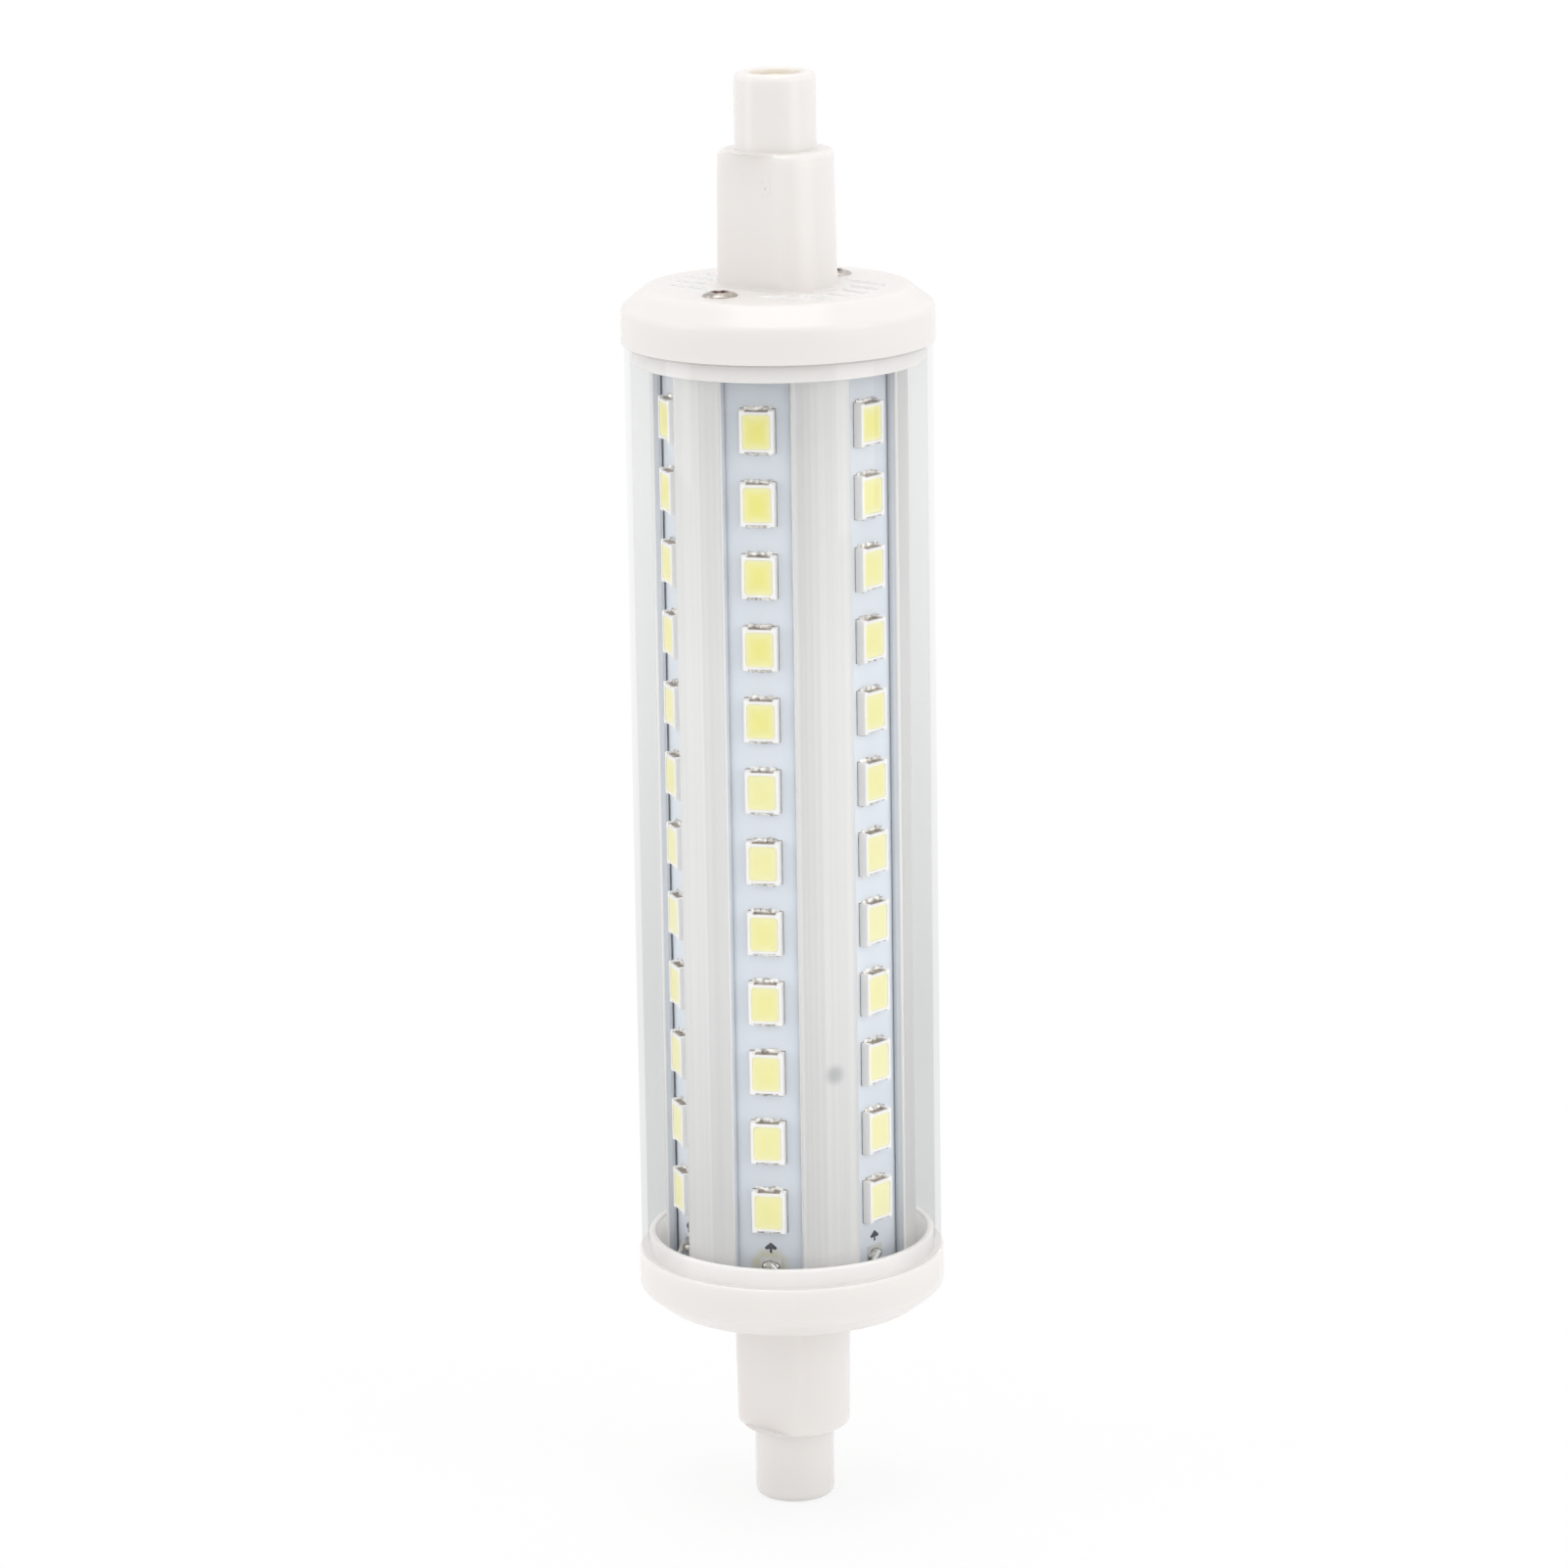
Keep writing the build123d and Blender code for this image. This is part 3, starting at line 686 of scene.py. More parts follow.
# %% Piece helpers
def piece(name, mesh, slot, *nodes):
    """Place a finished mesh on the lamp, in the stead of the named solids."""
    if not mesh.materials:
        mesh.materials.append(looks[slot])
    thing = bpy.data.objects.new(name, mesh)
    scene.collection.objects.link(thing)
    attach(thing, "root")
    if nodes:
        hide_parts(*nodes)
    print(name, "has", len(mesh.polygons), "faces")
    return thing


def grown(source, tree, values):
    """Run a geometry tree on an object and keep the result as a plain mesh."""
    modifier = source.modifiers.new(tree.name, "NODES")
    modifier.node_group = tree
    for item in tree.interface.items_tree:
        if item.in_out == "INPUT" and item.name in values:
            modifier[item.identifier] = values[item.name]
    evaluated = source.evaluated_get(bpy.context.evaluated_depsgraph_get())
    mesh = bpy.data.meshes.new_from_object(evaluated)
    source.modifiers.remove(modifier)
    return mesh


def stand_in(name, mesh):
    """Object that only carries a mesh or a curve."""
    thing = bpy.data.objects.new(name, mesh)
    scene.collection.objects.link(thing)
    return thing


def mesh_of(holder):
    """Mesh that a stand-in's curve makes; the stand-in is then removed."""
    mesh = bpy.data.meshes.new_from_object(holder.evaluated_get(bpy.context.evaluated_depsgraph_get()))
    bpy.data.objects.remove(holder)
    mesh.materials.clear()
    return mesh


print("piece helpers ready")

# %% [markdown]
# ## The end caps
# Each cap is one moulding: vented face, skirt, spigot inside the tube, a barrel with one flat side
# and a slim nose. The turned profile gets its flat while it is turned: on the barrel's rings the
# radius is never more than the flat's distance allows, with a soft corner between the two. The
# thin walls are marked here, for the finish's deeper light and its painted light.

# %% Cap profile
tip = cad_high.z
nose_radius = 3.25 * mm
shoulder = tip - 6.13 * mm
face = shoulder - 10.82 * mm
bevel_low = face - 1.56 * mm
skirt_low = bevel_low - 2.91 * mm
spigot_low = skirt_low - 1.5 * mm
inner_face = face - 1.6 * mm
cap_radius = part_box("upper_cap")[1].x
tube_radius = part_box("clear_tube")[1].x
barrel_tip, barrel_base = 4.6 * mm, 4.775 * mm
bevel_width = 1.95 * mm
spigot_outer, spigot_inner = tube_radius - 0.6 * mm, tube_radius - 1.2 * mm
seat_radius, seat_height = 2.2 * mm, tip - 3.6 * mm
stem_hole = 1.05 * mm
root_round = 0.3 * mm
flat_distance = 3.28 * mm
flat_soft = 0.3 * mm
plate_inner, plate_outer = 5.4 * mm, 9.2 * mm
nose_corners = [
    (plate_inner, inner_face, 0), (stem_hole, inner_face, 0), (stem_hole, seat_height, 0),
    (seat_radius, seat_height, 0), (seat_radius, tip, 0.25 * mm), (nose_radius, tip, 0.6 * mm),
    (nose_radius, shoulder, 0.12 * mm), (barrel_tip, shoulder, 0.45 * mm), (barrel_base, face, root_round),
    (plate_inner, face, 0)]
skirt_corners = [
    (plate_outer, face, 0), (cap_radius - bevel_width, face, 0.9 * mm), (cap_radius, bevel_low, 0.8 * mm),
    (cap_radius, skirt_low, 0.12 * mm), (spigot_outer, skirt_low, 0.05 * mm),
    (spigot_outer, spigot_low, 0.2 * mm), (spigot_inner, spigot_low, 0.2 * mm),
    (spigot_inner, inner_face, 0.2 * mm), (plate_outer, inner_face, 0)]
cap_segments = 256
corner_rings = 7


def with_flat(across, height, angle):
    """Radius of one point of the cap, held back by the barrel's flat."""
    beyond = across - barrel_base
    if not face <= height <= shoulder or beyond > root_round * 1.01 or math.cos(angle) < 0.2:
        return across
    flat = (flat_distance + max(beyond, 0)) / math.cos(angle)
    soft = flat_soft if across > nose_radius + 0.2 * mm else 0.01 * mm
    nearness = max(soft - abs(across - flat), 0) / soft
    return min(across, flat) - nearness * nearness * soft / 4


moulding = bmesh.new()
thin_and_painted_light_layer = moulding.verts.layers.float.new("thin_and_painted_light")
nose_rows = turn_rows(moulding, rounded(nose_corners), cap_segments, with_flat)
skirt_rows = turn_rows(moulding, rounded(skirt_corners), cap_segments)
# The spigot's inner wall: from the last ring of its lower edge to the last ring of its upper corner.
for row in skirt_rows[-corner_rings - 2:-1]:
    for vertex in row:
        vertex[thin_and_painted_light_layer] = 1.0
print("turned rings", len(nose_rows) + len(skirt_rows))

# %% [markdown]
# The vents are slots between two circles, in six straight rows. Every slot is a loop of points with
# an eased upper edge. The face of the moulding is then the area between the turned rings and these
# loops, filled once outside and once inside. Posts for the screws hang from the inner face.

# %% Vents, screw holes and posts
vent_inner, vent_outer, vent_half, vent_pitch = 6.0 * mm, 8.4 * mm, 0.325 * mm, 1.95 * mm
vent_ease = 0.21 * mm
screw_ring = 6.9 * mm
hole_radius, post_half, post_low = 0.9 * mm, 1.4 * mm, 2.05 * mm


def slot_loop(side, middle, grow):
    """Outline of one slot; its two ends follow the inner and the outer circle."""
    low, high = middle - vent_half - grow, middle + vent_half + grow
    heights = [low + (high - low) * step / 6 for step in range(7)]
    outer_end = [(side * math.sqrt((vent_outer + grow)**2 - across**2), across) for across in heights]
    inner_end = [(side * math.sqrt((vent_inner - grow)**2 - across**2), across) for across in heights]
    return outer_end + inner_end[::-1]


def level_rows(shell, levels):
    """Loops at several heights, joined by side walls."""
    rows = [[shell.verts.new((*spot, height)) for spot in loop] for loop, height in levels]
    join_rows(shell, rows)
    return rows


outside, inside = [nose_rows[-1], skirt_rows[0]], [nose_rows[0], skirt_rows[-1]]
for row in range(6):
    for side in (-1, 1):
        middle = (row - 2.5) * vent_pitch
        slot_rows = level_rows(moulding, [(slot_loop(side, middle, vent_ease), face),
                                          (slot_loop(side, middle, 0), face - vent_ease),
                                          (slot_loop(side, middle, 0), inner_face)])
        # The slot walls are marked too, for deeper light and painted light.
        for vertex in slot_rows[1] + slot_rows[2]:
            vertex[thin_and_painted_light_layer] = 1.0
        outside.append(slot_rows[0])
        inside.append(slot_rows[-1])
for side in (-1, 1):
    hole = [(hole_radius * math.cos(bend), side * screw_ring + hole_radius * math.sin(bend))
            for bend in full_circle(32)]
    corners = [(-1, -1), (1, -1), (1, 1), (-1, 1)]
    post = [(east * post_half, side * screw_ring + north * post_half) for east, north in corners]
    hole_rows = level_rows(moulding, [(hole, face), (hole, inner_face - post_low)])
    post_rows = level_rows(moulding, [(post, inner_face), (post, inner_face - post_low)])
    outside.append(hole_rows[0])
    inside.append(post_rows[0])
    fill(moulding, hole_rows[-1], post_rows[-1])
fill(moulding, *outside)
fill(moulding, *inside)
print("vent slots and screw holes", len(outside) - 2)

# %% [markdown]
# The lower cap is the upper one, mirrored. A mirrored mesh has its faces inside out, so they are
# flipped back.

# %% Both caps
def turned_over(mesh):
    """Mirror image of a mesh at the lamp's other end."""
    other = mesh.copy()
    other.transform(Matrix.Scale(-1, 4, (0, 0, 1)))
    other.flip_normals()
    return other


cap_mesh = from_bmesh("end_cap", moulding)
piece("end_cap_upper", smooth(cap_mesh, 30), "cap_plastic", "upper_cap")
piece("end_cap_lower", smooth(turned_over(cap_mesh), 30), "cap_plastic", "lower_cap")

# %% [markdown]
# ## The clear tube and the contacts
# The tube is a plain length of clear plastic, held between the two skirts. Its cut ends are eased,
# so that they catch a line of light. The seam under the upper cap gets painted shade: a very thin
# dark ring. The contact is a small turned cup that sits back in the nose.

# %% Tube, seam and contacts
tube_segments = 384
tube_inner = tube_radius - 0.5 * mm
tube_ease = 0.12 * mm
tube_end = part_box("clear_tube")[1].z - 0.03 * mm
tube_corners = [(tube_radius, tube_end, tube_ease), (tube_radius, -tube_end, tube_ease),
                (tube_inner, -tube_end, tube_ease), (tube_inner, tube_end, tube_ease)]
tube_mesh = lathe("tube_clear", rounded(tube_corners, 4), tube_segments)
piece("tube_clear", smooth(tube_mesh), "clear_plastic", "clear_tube")

# Painted shade: a very thin dark ring in the seam under the upper skirt.
seam_inner, seam_outer = tube_radius - 0.02 * mm, tube_radius + 0.015 * mm
seam_low = skirt_low - 0.06 * mm
seam_corners = [(seam_inner, skirt_low, 0), (seam_outer, skirt_low, 0), (seam_outer, seam_low, 0),
                (seam_inner, seam_low, 0)]
seam_mesh = lathe("seam_line", rounded(seam_corners), tube_segments)
seam_mesh.materials.append(looks["seam_dirt"])
piece("seam_line", seam_mesh, "cap_plastic")

cup_top = tip - 0.5 * mm
cup_floor = seat_height + 0.8 * mm
cup_inner, cup_outer, stem_radius = 1.85 * mm, 2.15 * mm, 1.0 * mm
cup_ease = 0.1 * mm
stem_low = seat_height - 2.0 * mm
cup_corners = [(0.0, cup_floor, 0), (cup_inner, cup_floor, 0.3 * mm), (cup_inner, cup_top, cup_ease),
               (cup_outer, cup_top, cup_ease), (cup_outer, seat_height, cup_ease),
               (stem_radius, seat_height, 0), (stem_radius, stem_low, cup_ease), (0.0, stem_low, 0)]
cup = smooth(lathe("contact_upper", rounded(cup_corners, 4), 96))
piece("contact_upper", cup, "contact_brass", "upper_contact")
piece("contact_lower", smooth(turned_over(cup)), "contact_brass", "lower_contact")

# %% [markdown]
# ## The drawn core
# The core has one section over its whole length, so it is drawn once as a flat curve and given its
# depth by the curve's own extrusion. One channel is described by its right half, mirrored, and set
# six times round the axis. Between the channels run the arcs of the pillars, with eased corners.
# The two screw ports and the bore are holes in the same curve.

# %% Section of the core
lip_face, lip_half = board_face + 0.18 * mm, 2.6 * mm
mouth_half = 2.75 * mm
groove_half = 3.2 * mm
board_back = 7.9 * mm
bore_radius = 5.8 * mm
port_radius = 0.75 * mm
slit_half = 0.35 * mm
corner_ease = 0.22 * mm
step_angle = math.radians(60)
board_angles = [math.radians(30 + 60 * index) for index in range(6)]
mouth_face = math.sqrt(core_radius**2 - mouth_half**2)


def from_axis(distance, side, angle):
    """Flat point at a distance from the axis and to one side, turned to its board."""
    return Vector((distance * math.sin(angle) + side * math.cos(angle),
                   -distance * math.cos(angle) + side * math.sin(angle)))


def arc(radius, start, end, steps):
    """Points of an arc about the axis."""
    return [from_axis(radius, 0, start + (end - start) * step / steps) for step in range(steps + 1)]


half_channel = [(board_back, groove_half), (lip_face, groove_half), (lip_face, lip_half)]
ease_steps = 5
for step in range(ease_steps + 1):
    bend = math.pi / 2 * step / ease_steps
    half_channel.append((mouth_face - corner_ease * (1 - math.sin(bend)),
                         mouth_half + corner_ease * (1 - math.cos(bend))))
pillar_start = math.atan2(mouth_half + corner_ease, mouth_face)
outline = []
for angle in board_angles:
    outline += [from_axis(distance, -side, angle) for distance, side in reversed(half_channel)]
    outline += [from_axis(distance, side, angle) for distance, side in half_channel]
    outline += arc(core_radius, angle + pillar_start, angle + step_angle - pillar_start, 20)[1:-1]

slit_turn = math.asin(slit_half / bore_radius)
port_turn = math.pi - math.asin(slit_half / port_radius)
bore = []
for middle in (0.0, math.pi):
    bore += arc(bore_radius, middle - math.pi + slit_turn, middle - slit_turn, 48)
    port = from_axis(screw_ring, 0, middle)
    bore += [port + spot for spot in arc(port_radius, middle - port_turn, middle + port_turn, 24)]
print("core outline", len(outline), "points, bore", len(bore), "points")

# %% [markdown]
# A flat curve fills the area between its loops and extrudes to both sides. The fill has a fixed
# tolerance, so the curve is drawn in millimetres and its mesh is brought to metres afterwards.

# %% Core as an extruded curve
core_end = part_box("heat_sink")[1].z
section = bpy.data.curves.new("core_section", "CURVE")
section.dimensions = "2D"
section.fill_mode = "BOTH"
section.extrude = core_end / mm
for loop in (outline, bore):
    spline = section.splines.new("POLY")
    spline.points.add(len(loop) - 1)
    for point, place in zip(spline.points, loop):
        point.co = (place.x / mm, place.y / mm, 0, 1)
    spline.use_cyclic_u = True
section_mesh = mesh_of(stand_in("core_section", section))
section_mesh.transform(Matrix.Scale(mm, 4))
core = bmesh.new()
core.from_mesh(section_mesh)
piece("core_drawn", smooth(from_bmesh("core_drawn", core), 25), "drawn_aluminium", "heat_sink")

# %% [markdown]
# ## What repeats round the lamp
# LED packages, their leads, the solder joints, the printed marks and the cap screws all repeat round
# the axis. One geometry tree places them: it makes a line of points, wraps them into rows round the
# lamp, sets the shape on each, and stores a tone for each copy. A little noise can roughen hand
# soldered shapes, so that no two are alike.

# %% Tree that sets shapes round the lamp
GEOMETRY = "NodeSocketGeometry"
INTEGER = "NodeSocketInt"
round_lamp, row_in, row_out = open_group(
    "round_lamp", "GeometryNodeTree",
    [("Geometry", GEOMETRY, None), ("Shape", "NodeSocketObject", None), ("Rows", INTEGER, 6),
     ("Each row", INTEGER, 12), ("First angle", FLOAT, 0.0), ("From axis", FLOAT, 0.008),
     ("First height", FLOAT, 0.0), ("Pitch", FLOAT, 0.0), ("Jitter", FLOAT, 0.0), ("Seed", INTEGER, 3),
     ("Finish", "NodeSocketMaterial", None)],
    [("Geometry", GEOMETRY)])
number = add(round_lamp, "GeometryNodeInputIndex").outputs[0]
row = maths("FLOOR", maths("DIVIDE", number, row_in["Each row"]))
step_in_row = maths("MODULO", number, row_in["Each row"])
full_turns = times(row, 2 * math.pi)
turn = plus(row_in["First angle"], maths("DIVIDE", full_turns, row_in["Rows"]))
height = plus(row_in["First height"], times(step_in_row, row_in["Pitch"]))
forward = times(row_in["From axis"], -1.0)
in_front = add(round_lamp, "ShaderNodeCombineXYZ", {1: forward, 2: height})
spot = add(round_lamp, "ShaderNodeVectorRotate", {"Vector": in_front.outputs[0], "Angle": turn},
           rotation_type="Z_AXIS")
total = times(row_in["Rows"], row_in["Each row"])
points = add(round_lamp, "GeometryNodeMeshLine", {"Count": total}, mode="OFFSET")
placed = add(round_lamp, "GeometryNodeSetPosition",
             {"Geometry": points.outputs[0], "Position": spot.outputs[0]})
print("places made by", len(round_lamp.nodes), "nodes")

# %% [markdown]
# The second half of the tree sets the shape on every place, turned outwards. A seeded random value
# and the step in the row give each copy its tone. The copies then become real, take a little noise
# and get their finish.

# %% Tree, second half
shape = add(round_lamp, "GeometryNodeObjectInfo", {"Object": row_in["Shape"]})
facing_out = add(round_lamp, "ShaderNodeCombineXYZ", {2: turn})
copies = add(round_lamp, "GeometryNodeInstanceOnPoints",
             {"Points": placed.outputs[0], "Instance": shape.outputs["Geometry"],
              "Rotation": facing_out.outputs[0]})
chance = add(round_lamp, "FunctionNodeRandomValue", {"ID": number, "Seed": row_in["Seed"]}, data_type="FLOAT")
last_step = maths("MAXIMUM", minus(row_in["Each row"], 1.0), 1.0)
up_the_row = maths("DIVIDE", step_in_row, last_step)
towards_top = maths("POWER", up_the_row, 2.0)
copy_tone = plus(times(chance.outputs[1], 0.35), times(towards_top, 0.65))
toned = add(round_lamp, "GeometryNodeStoreNamedAttribute",
            {"Geometry": copies.outputs[0], "Name": "tone", "Value": copy_tone},
            data_type="FLOAT", domain="INSTANCE")
solid = add(round_lamp, "GeometryNodeRealizeInstances", {0: toned.outputs[0]})
here = add(round_lamp, "GeometryNodeInputPosition").outputs[0]
stir = add(round_lamp, "ShaderNodeTexNoise", {"Vector": here, "Scale": 2600.0, "Detail": 1.0})
centred = vector_maths("SUBTRACT", stir.outputs["Color"], {1: (0.5, 0.5, 0.5)})[0]
shift = scaled(centred, row_in["Jitter"])
stirred = add(round_lamp, "GeometryNodeSetPosition", {"Geometry": solid.outputs[0], "Offset": shift})
dressed = add(round_lamp, "GeometryNodeSetMaterial",
              {"Geometry": stirred.outputs[0], "Material": row_in["Finish"]})
plug(row_out, {"Geometry": dressed.outputs[0]})
print("round tree with", len(round_lamp.nodes), "nodes")

# %% [markdown]
# Each kind of copy then needs only its shape, its slot, the solids it stands for and a few row values.

# %% Helpers that use the tree
def set_round(name, shape_mesh, slot, nodes, values, look=None, sharp_angle=35):
    """Make a piece of many copies of one shape."""
    shape_holder = stand_in(name + "_shape", shape_mesh)
    carrier = stand_in(name + "_rows", bpy.data.meshes.new(name + "_rows"))
    values = {"Shape": shape_holder, "Finish": looks[look or slot], **values}
    mesh = grown(carrier, round_lamp, values)
    bpy.data.objects.remove(shape_holder)
    bpy.data.objects.remove(carrier)
    return piece(name, smooth(mesh, sharp_angle), slot, *nodes)


def nodes_like(prefix):
    """Names of the six solids, one to a board, that share a first word."""
    return [f"{prefix}_{board}" for board in range(1, 7)]


print("names such as", nodes_like("led_bodies")[0])

# %% [markdown]
# ## The LED package
# A package is a white moulded frame on a metal lead frame. Its ends are notched where the leads come
# out, its walls lean in a little, and its window has round corners. It is built from a few loops of
# points, stacked from the board outwards, with the rim between the outer loop and the window filled.

# %% LED outlines
led_half_width, led_half_length, led_tall = 1.4 * mm, 1.75 * mm, 0.8 * mm
window_half_width, window_half_length = 1.13 * mm, 1.4 * mm
window_round = 0.28 * mm
window_floor = 0.55 * mm
notch_half, notch_deep = 0.95 * mm, 0.13 * mm


def on_front(side, along, out):
    """Point of a shape that faces outwards at angle nought."""
    return (side, -out, along)


def notched_outline(inset):
    """Outline of the housing, with a notch in each end."""
    wide, long = led_half_width - inset, led_half_length - inset
    deep = long - notch_deep
    upper_half = [(wide, -long), (wide, long), (notch_half, long), (notch_half, deep), (-notch_half, deep),
                  (-notch_half, long), (-wide, long), (-wide, -long)]
    lower_half = [(-notch_half, -long), (-notch_half, -deep), (notch_half, -deep), (notch_half, -long)]
    return upper_half + lower_half


def round_window(scale, corner_steps=4):
    """Outline of the window, shrunk towards its middle."""
    loop = []
    for quarter in range(4):
        east = 1 if quarter in (0, 3) else -1
        north = 1 if quarter in (0, 1) else -1
        for step in range(corner_steps + 1):
            bend = math.pi / 2 * (quarter + step / corner_steps)
            side = east * (window_half_width - window_round) + window_round * math.cos(bend)
            along = north * (window_half_length - window_round) + window_round * math.sin(bend)
            loop.append((scale * side, scale * along))
    return loop


def stack(shell, loops):
    """Loops of points at several distances from the board, joined by side walls."""
    rows = [[shell.verts.new(on_front(side, along, out)) for side, along in loop] for loop, out in loops]
    join_rows(shell, rows)
    return rows


def closed_stack(shell, loops):
    """The same, with a floor and a lid."""
    rows = stack(shell, loops)
    shell.faces.new(rows[0])
    shell.faces.new(rows[-1])
    return rows


def thin_plate(name, loop, thickness):
    """Closed plate on the board, for a pad, a film or a printed mark."""
    plate = bmesh.new()
    closed_stack(plate, [(loop, 0.0), (loop, thickness)])
    return from_bmesh(name, plate)


def oblong(half_width, half_length):
    """Outline of a pad or a film."""
    return [(-half_width, -half_length), (half_width, -half_length), (half_width, half_length),
            (-half_width, half_length)]


print("housing outline has", len(notched_outline(0)), "corners, window", len(round_window(1.0)))

# %% [markdown]
# The housing takes the notched outline outside and the window inside. The filling sits in the window
# as a very low dome, and its points carry how near they are to the rim.

# %% LED housing and phosphor
housing = bmesh.new()
outer = stack(housing, [(notched_outline(0), 0.0), (notched_outline(0.02 * mm), led_tall - 0.08 * mm),
                        (notched_outline(0.06 * mm), led_tall)])
inner = stack(housing, [(round_window(1.0), led_tall), (round_window(0.96), window_floor)])
fill(housing, outer[-1], inner[0])
housing.faces.new(outer[0])
housing.faces.new(inner[-1])
housing_mesh = from_bmesh("led_housing", housing)

filling = bmesh.new()
rim_layer = filling.verts.layers.float.new("rim")
dome = [(0.965, window_floor), (0.985, led_tall - 0.06 * mm), (0.8, led_tall - 0.035 * mm),
        (0.5, led_tall - 0.02 * mm), (0.2, led_tall - 0.015 * mm)]
layers = closed_stack(filling, [(round_window(scale), out) for scale, out in dome])
for ring, (scale, _) in zip(layers, dome):
    for vertex in ring:
        vertex[rim_layer] = scale
filling_mesh = from_bmesh("led_filling", filling)
print("housing", len(housing_mesh.polygons), "faces, filling", len(filling_mesh.polygons), "faces")

# %% [markdown]
# The lead at each end is a strip of tinned metal under a fillet of solder. Its profile is set side by
# side in columns, lower at the two outer ones. The many columns let the tree's noise give the solder
# its uneven surface.

# %% LED leads with solder
lead_half, lead_toe = 1.08 * mm, 1.98 * mm
lead_profile = [(1.5 * mm, 0.0), (1.5 * mm, 0.16 * mm), (1.74 * mm, 0.18 * mm), (1.84 * mm, 0.15 * mm),
                (1.93 * mm, 0.08 * mm), (lead_toe, 0.0)]
lead_columns = 15
outer_shrink = 0.45
leads = bmesh.new()
for end in (-1, 1):
    columns = []
    for column in range(lead_columns):
        side = -lead_half + 2 * lead_half * column / (lead_columns - 1)
        shrink = outer_shrink if column in (0, lead_columns - 1) else 1.0
        columns.append([leads.verts.new(on_front(side, end * along, out * shrink))
                        for along, out in lead_profile])
    join_rows(leads, columns)
    leads.faces.new(columns[0])
    leads.faces.new(columns[-1])
lead_mesh = from_bmesh("led_lead", leads)
print("lead pair", len(lead_mesh.polygons), "faces")

# %% [markdown]
# All seventy-two packages use the same row values. A brownish film, flux and painted shade in one,
# shows as a thin dark line round each package where it meets the board. A dark plate in each end's
# notch, above the lead, is painted shade in the same brownish finish.

# %% Seventy-two LEDs
led_rows = {"Rows": 6, "Each row": 12, "First angle": board_angles[0], "From axis": board_face,
            "First height": -31.9 * mm, "Pitch": 5.8 * mm}
set_round("led_housings", housing_mesh, "led_housing", nodes_like("led_bodies"), led_rows)
set_round("led_fillings", filling_mesh, "led_phosphor", nodes_like("led_phosphors"), led_rows)
set_round("led_end_leads", lead_mesh, "led_lead", nodes_like("led_leads"), {**led_rows, "Jitter": 0.35 * mm},
          None, 25)
# Flux and painted shade: a thin dark film just larger than the housing.
film_mesh = thin_plate("film", oblong(1.44 * mm, 1.8 * mm), 0.03 * mm)
set_round("led_flux_films", film_mesh, "led_lead", [], led_rows, "flux_film")
# Painted shade: a dark plate in each end's notch.
slot_wall = led_half_length - notch_deep
slot_half, slot_low, slot_high = 0.9 * mm, 0.1 * mm, 0.6 * mm
slots = bmesh.new()
for end in (-1, 1):
    back, front = end * (slot_wall - 0.05 * mm), end * (slot_wall + 0.02 * mm)
    slot_outline = [(-slot_half, back), (slot_half, back), (slot_half, front), (-slot_half, front)]
    closed_stack(slots, [(slot_outline, slot_low), (slot_outline, slot_high)])
set_round("led_end_slots", from_bmesh("slot", slots), "led_lead", [], led_rows, "flux_film")

# %% [markdown]
# ## Solder joints and board marks
# Each board end has a square tinned pad with a hand-made joint: a low mound that has run a little.
# Near the lower end a small printed arrow shows which way the board goes in.

# %% Joints, pads and arrows
joint_rows = {"Rows": 6, "Each row": 2, "First angle": board_angles[0], "From axis": board_face,
              "First height": -joint_height, "Pitch": 2 * joint_height}
mound_rings = [(0.6, 0.0), (0.58, 0.12), (0.46, 0.3), (0.26, 0.42), (0.08, 0.46)]
mound_wide, mound_tall = 1.3, 0.85
mound_loops = []
for radius, out in mound_rings:
    ring = [(mound_wide * radius * mm * math.cos(bend), mound_tall * radius * mm * math.sin(bend))
            for bend in full_circle(20)]
    mound_loops.append((ring, out * mm))
mound = bmesh.new()
closed_stack(mound, mound_loops)
set_round("solder_mounds", from_bmesh("mound", mound), "solder", nodes_like("solder_joints"),
          {**joint_rows, "Jitter": 0.3 * mm}, None, 60)

pad_mesh = thin_plate("pad", oblong(0.9 * mm, 0.75 * mm), 0.04 * mm)
set_round("solder_pads", pad_mesh, "solder", [], joint_rows, "pad_tin")
arrow_corners = [(0.0, 0.48), (0.52, 0.04), (0.4, -0.14), (0.1, -0.08), (0.1, -0.42), (-0.1, -0.42),
                 (-0.1, -0.08), (-0.4, -0.14), (-0.52, 0.04)]
arrow_loop = [(side * mm, along * mm) for side, along in arrow_corners]
set_round("board_arrows", thin_plate("arrow", arrow_loop, 0.015 * mm), "board_lacquer", [],
          {**joint_rows, "Each row": 1, "First height": -35.1 * mm, "Pitch": 0.0}, "board_ink")

# %% [markdown]
# ## Cap screws
# Two low head screws hold each cap. The head is turned from a domed profile, and its flat top is
# filled round a cross, whose walls lean inwards to a small floor. The shank runs on through the
# post into the core's port.

# %% Screw shape and its four places
head_radius, head_tall, shank_radius, shank_long = 1.4 * mm, 0.3 * mm, 0.7 * mm, 6.65 * mm
screw_corners = [(0.0, -shank_long, 0), (shank_radius, -shank_long, 0.2 * mm), (shank_radius, 0.0, 0),
                 (head_radius, 0.0, 0), (head_radius, 0.06 * mm, 0), (1.15 * mm, 0.22 * mm, 0.5 * mm),
                 (0.85 * mm, head_tall, 0)]


def cross_loop(long, wide):
    """Outline of a cross recess."""
    arm = [(long, -wide), (long, wide), (wide, wide), (wide, long), (-wide, long), (-wide, wide)]
    return [(east * mm, north * mm) for east, north in arm + [(-east, -north) for east, north in arm]]


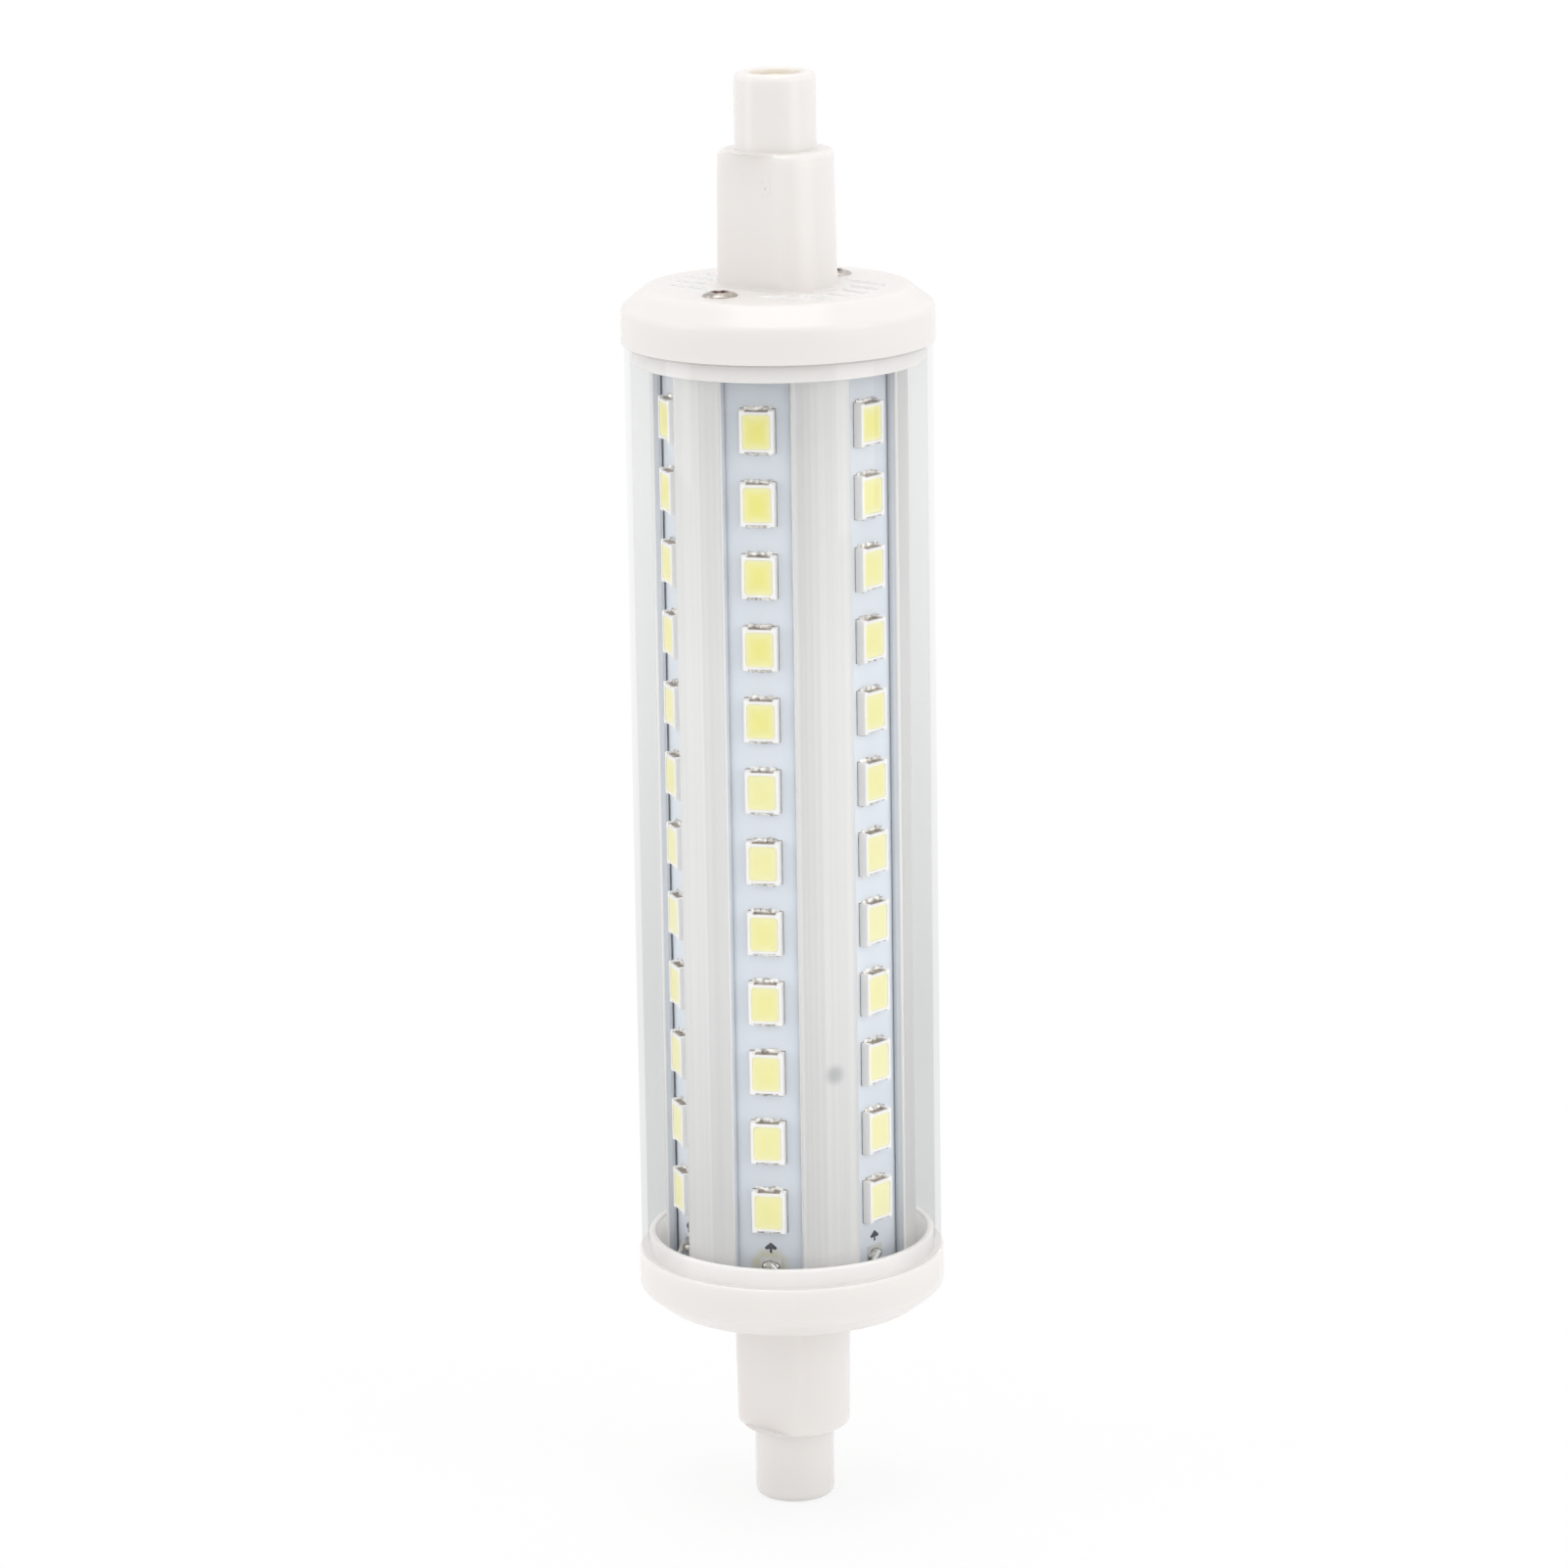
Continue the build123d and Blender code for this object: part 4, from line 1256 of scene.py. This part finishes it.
screw = bmesh.new()
recess_brown_layer = screw.verts.layers.float.new("recess_brown")
screw_top = turn_rows(screw, rounded(screw_corners, 4), 40)[-1]
recess_floor = head_tall - 0.45 * mm
recess = level_rows(screw, [(cross_loop(0.78, 0.24), head_tall), (cross_loop(0.42, 0.14), recess_floor)])
fill(screw, screw_top, recess[0])
screw.faces.new(recess[-1])
# The recess is marked for its brown colour: fully at the floor, less at the top.
for ring, recess_brown in zip(recess, (0.7, 1.0)):
    for vertex in ring:
        vertex[recess_brown_layer] = recess_brown
screw_mesh = from_bmesh("cap_screw", screw)
screw_rows = {"Rows": 2, "Each row": 1, "First angle": 0.0, "From axis": screw_ring, "Pitch": 0.0}
set_round("cap_screws_upper", screw_mesh, "screw_steel", ["upper_cap_screws"],
          {**screw_rows, "First height": face}, None, 30)
set_round("cap_screws_lower", turned_over(screw_mesh), "screw_steel", ["lower_cap_screws"],
          {**screw_rows, "First height": -face}, None, 30)

# %% [markdown]
# ## Wires
# Bare tinned wires link one board to the next round the end of a pillar, and two insulated wires
# feed the first and the last board. Each follows the same few points as its solid, on a smooth
# curve with a round section.

# %% Wire helpers and routes
wire_radius = 0.25 * mm
link_start = 0.6 * mm
link_rest = board_face + 0.3 * mm
wiring_height = (core_end + inner_face) / 2
driver_end = 31.0 * mm
feed_inside, feed_depth = 4.2 * mm, -1.8 * mm


def wire_piece(name, routes, radius, slot, *nodes):
    """Round wires along smooth curves, made into one mesh."""
    curve = bpy.data.curves.new(name, "CURVE")
    curve.dimensions = "3D"
    curve.bevel_depth = radius
    curve.bevel_resolution = 4
    curve.use_fill_caps = True
    curve.resolution_u = 10
    for route in routes:
        spline = curve.splines.new("NURBS")
        spline.points.add(len(route) - 1)
        for point, place in zip(spline.points, route):
            point.co = (*place, 1)
        spline.order_u = 3
        spline.use_endpoint_u = True
    return piece(name, smooth(mesh_of(stand_in(name + "_curve", curve))), slot, *nodes)


def beside(angle, side, distance, height):
    """Point beside a board's middle line."""
    flat = from_axis(distance, side, angle)
    return Vector((flat.x, flat.y, height))


def link_route(angle, end):
    """From the joint on one board to the joint on the next, round a pillar's end."""
    rising = [(0.0, link_rest + 0.15 * mm, joint_height - 0.3 * mm),
              (link_start, link_rest, joint_height + 0.3 * mm),
              (1.55 * mm, link_rest + 0.375 * mm, core_end + 0.1 * mm)]
    near = [beside(angle, side, far, end * high) for side, far, high in rising]
    across = beside(angle + step_angle / 2, 0, core_radius - 0.8 * mm, end * wiring_height)
    after = [beside(angle + step_angle, -side, far, end * high) for side, far, high in reversed(rising)]
    return near + [across] + after


def feed_route(angle):
    """From the driver board over the core's end to one light board."""
    stops = [(link_rest, joint_height + link_start), (link_rest, core_end + 0.4 * mm),
             (link_rest - 0.6 * mm, wiring_height), (5.0 * mm, wiring_height),
             (feed_inside, core_end - 0.6 * mm)]
    over_core = [beside(angle, 0, far, high) for far, high in stops]
    side = over_core[-1].x
    return over_core + [Vector((side, feed_depth, high)) for high in (driver_end, driver_end - 2.0 * mm)]


print("wires cross at", round(wiring_height / mm, 2), "mm")

# %% [markdown]
# The lower links join the boards in pairs, and the upper ones join those pairs, so that the six boards
# make one chain. One lower link ends in a stub beside its joint, as in the photograph.

# %% All wires
lower_routes = [link_route(angle, -1) for angle in board_angles[0::2]]
lower_routes[-1].append(beside(board_angles[-1], 1.3 * mm, link_rest + 0.2 * mm, 0.9 * mm - joint_height))
wire_piece("links_lower", lower_routes, wire_radius, "link_wire_tin", "lower_link_wires")
upper_routes = [link_route(angle, 1) for angle in board_angles[1:-1:2]]
wire_piece("links_upper", upper_routes, wire_radius, "link_wire_tin", "upper_link_wires")
feed_routes = [feed_route(board_angles[-1]), feed_route(board_angles[0])]
wire_piece("feeds", feed_routes, wire_radius, "feed_insulation", "feed_wires")
contact_stops = (driver_end - 2.5 * mm, driver_end + 8 * mm, stem_low)
for name, end in (("upper", 1), ("lower", -1)):
    contact_route = [Vector((0, 0, end * stop)) for stop in contact_stops]
    wire_piece(f"contact_lead_{name}", [contact_route], 0.45 * mm, "contact_wire_insulation",
               f"{name}_contact_wire")

# %% [markdown]
# ## The solids that stay
# The boards and the hidden driver have the right shape already, so they keep their CAD meshes and
# only take the finish that their slot names.

# %% Finishes for the carried-over solids
slot_of = {part["node"]: part["material_slot"] for part in frame["record"]["subparts"]}
for node, thing in frame["nodes"].items():
    thing.data.materials.clear()
    thing.data.materials.append(looks[slot_of[node]])
print(len(frame["nodes"]), "solids finished")
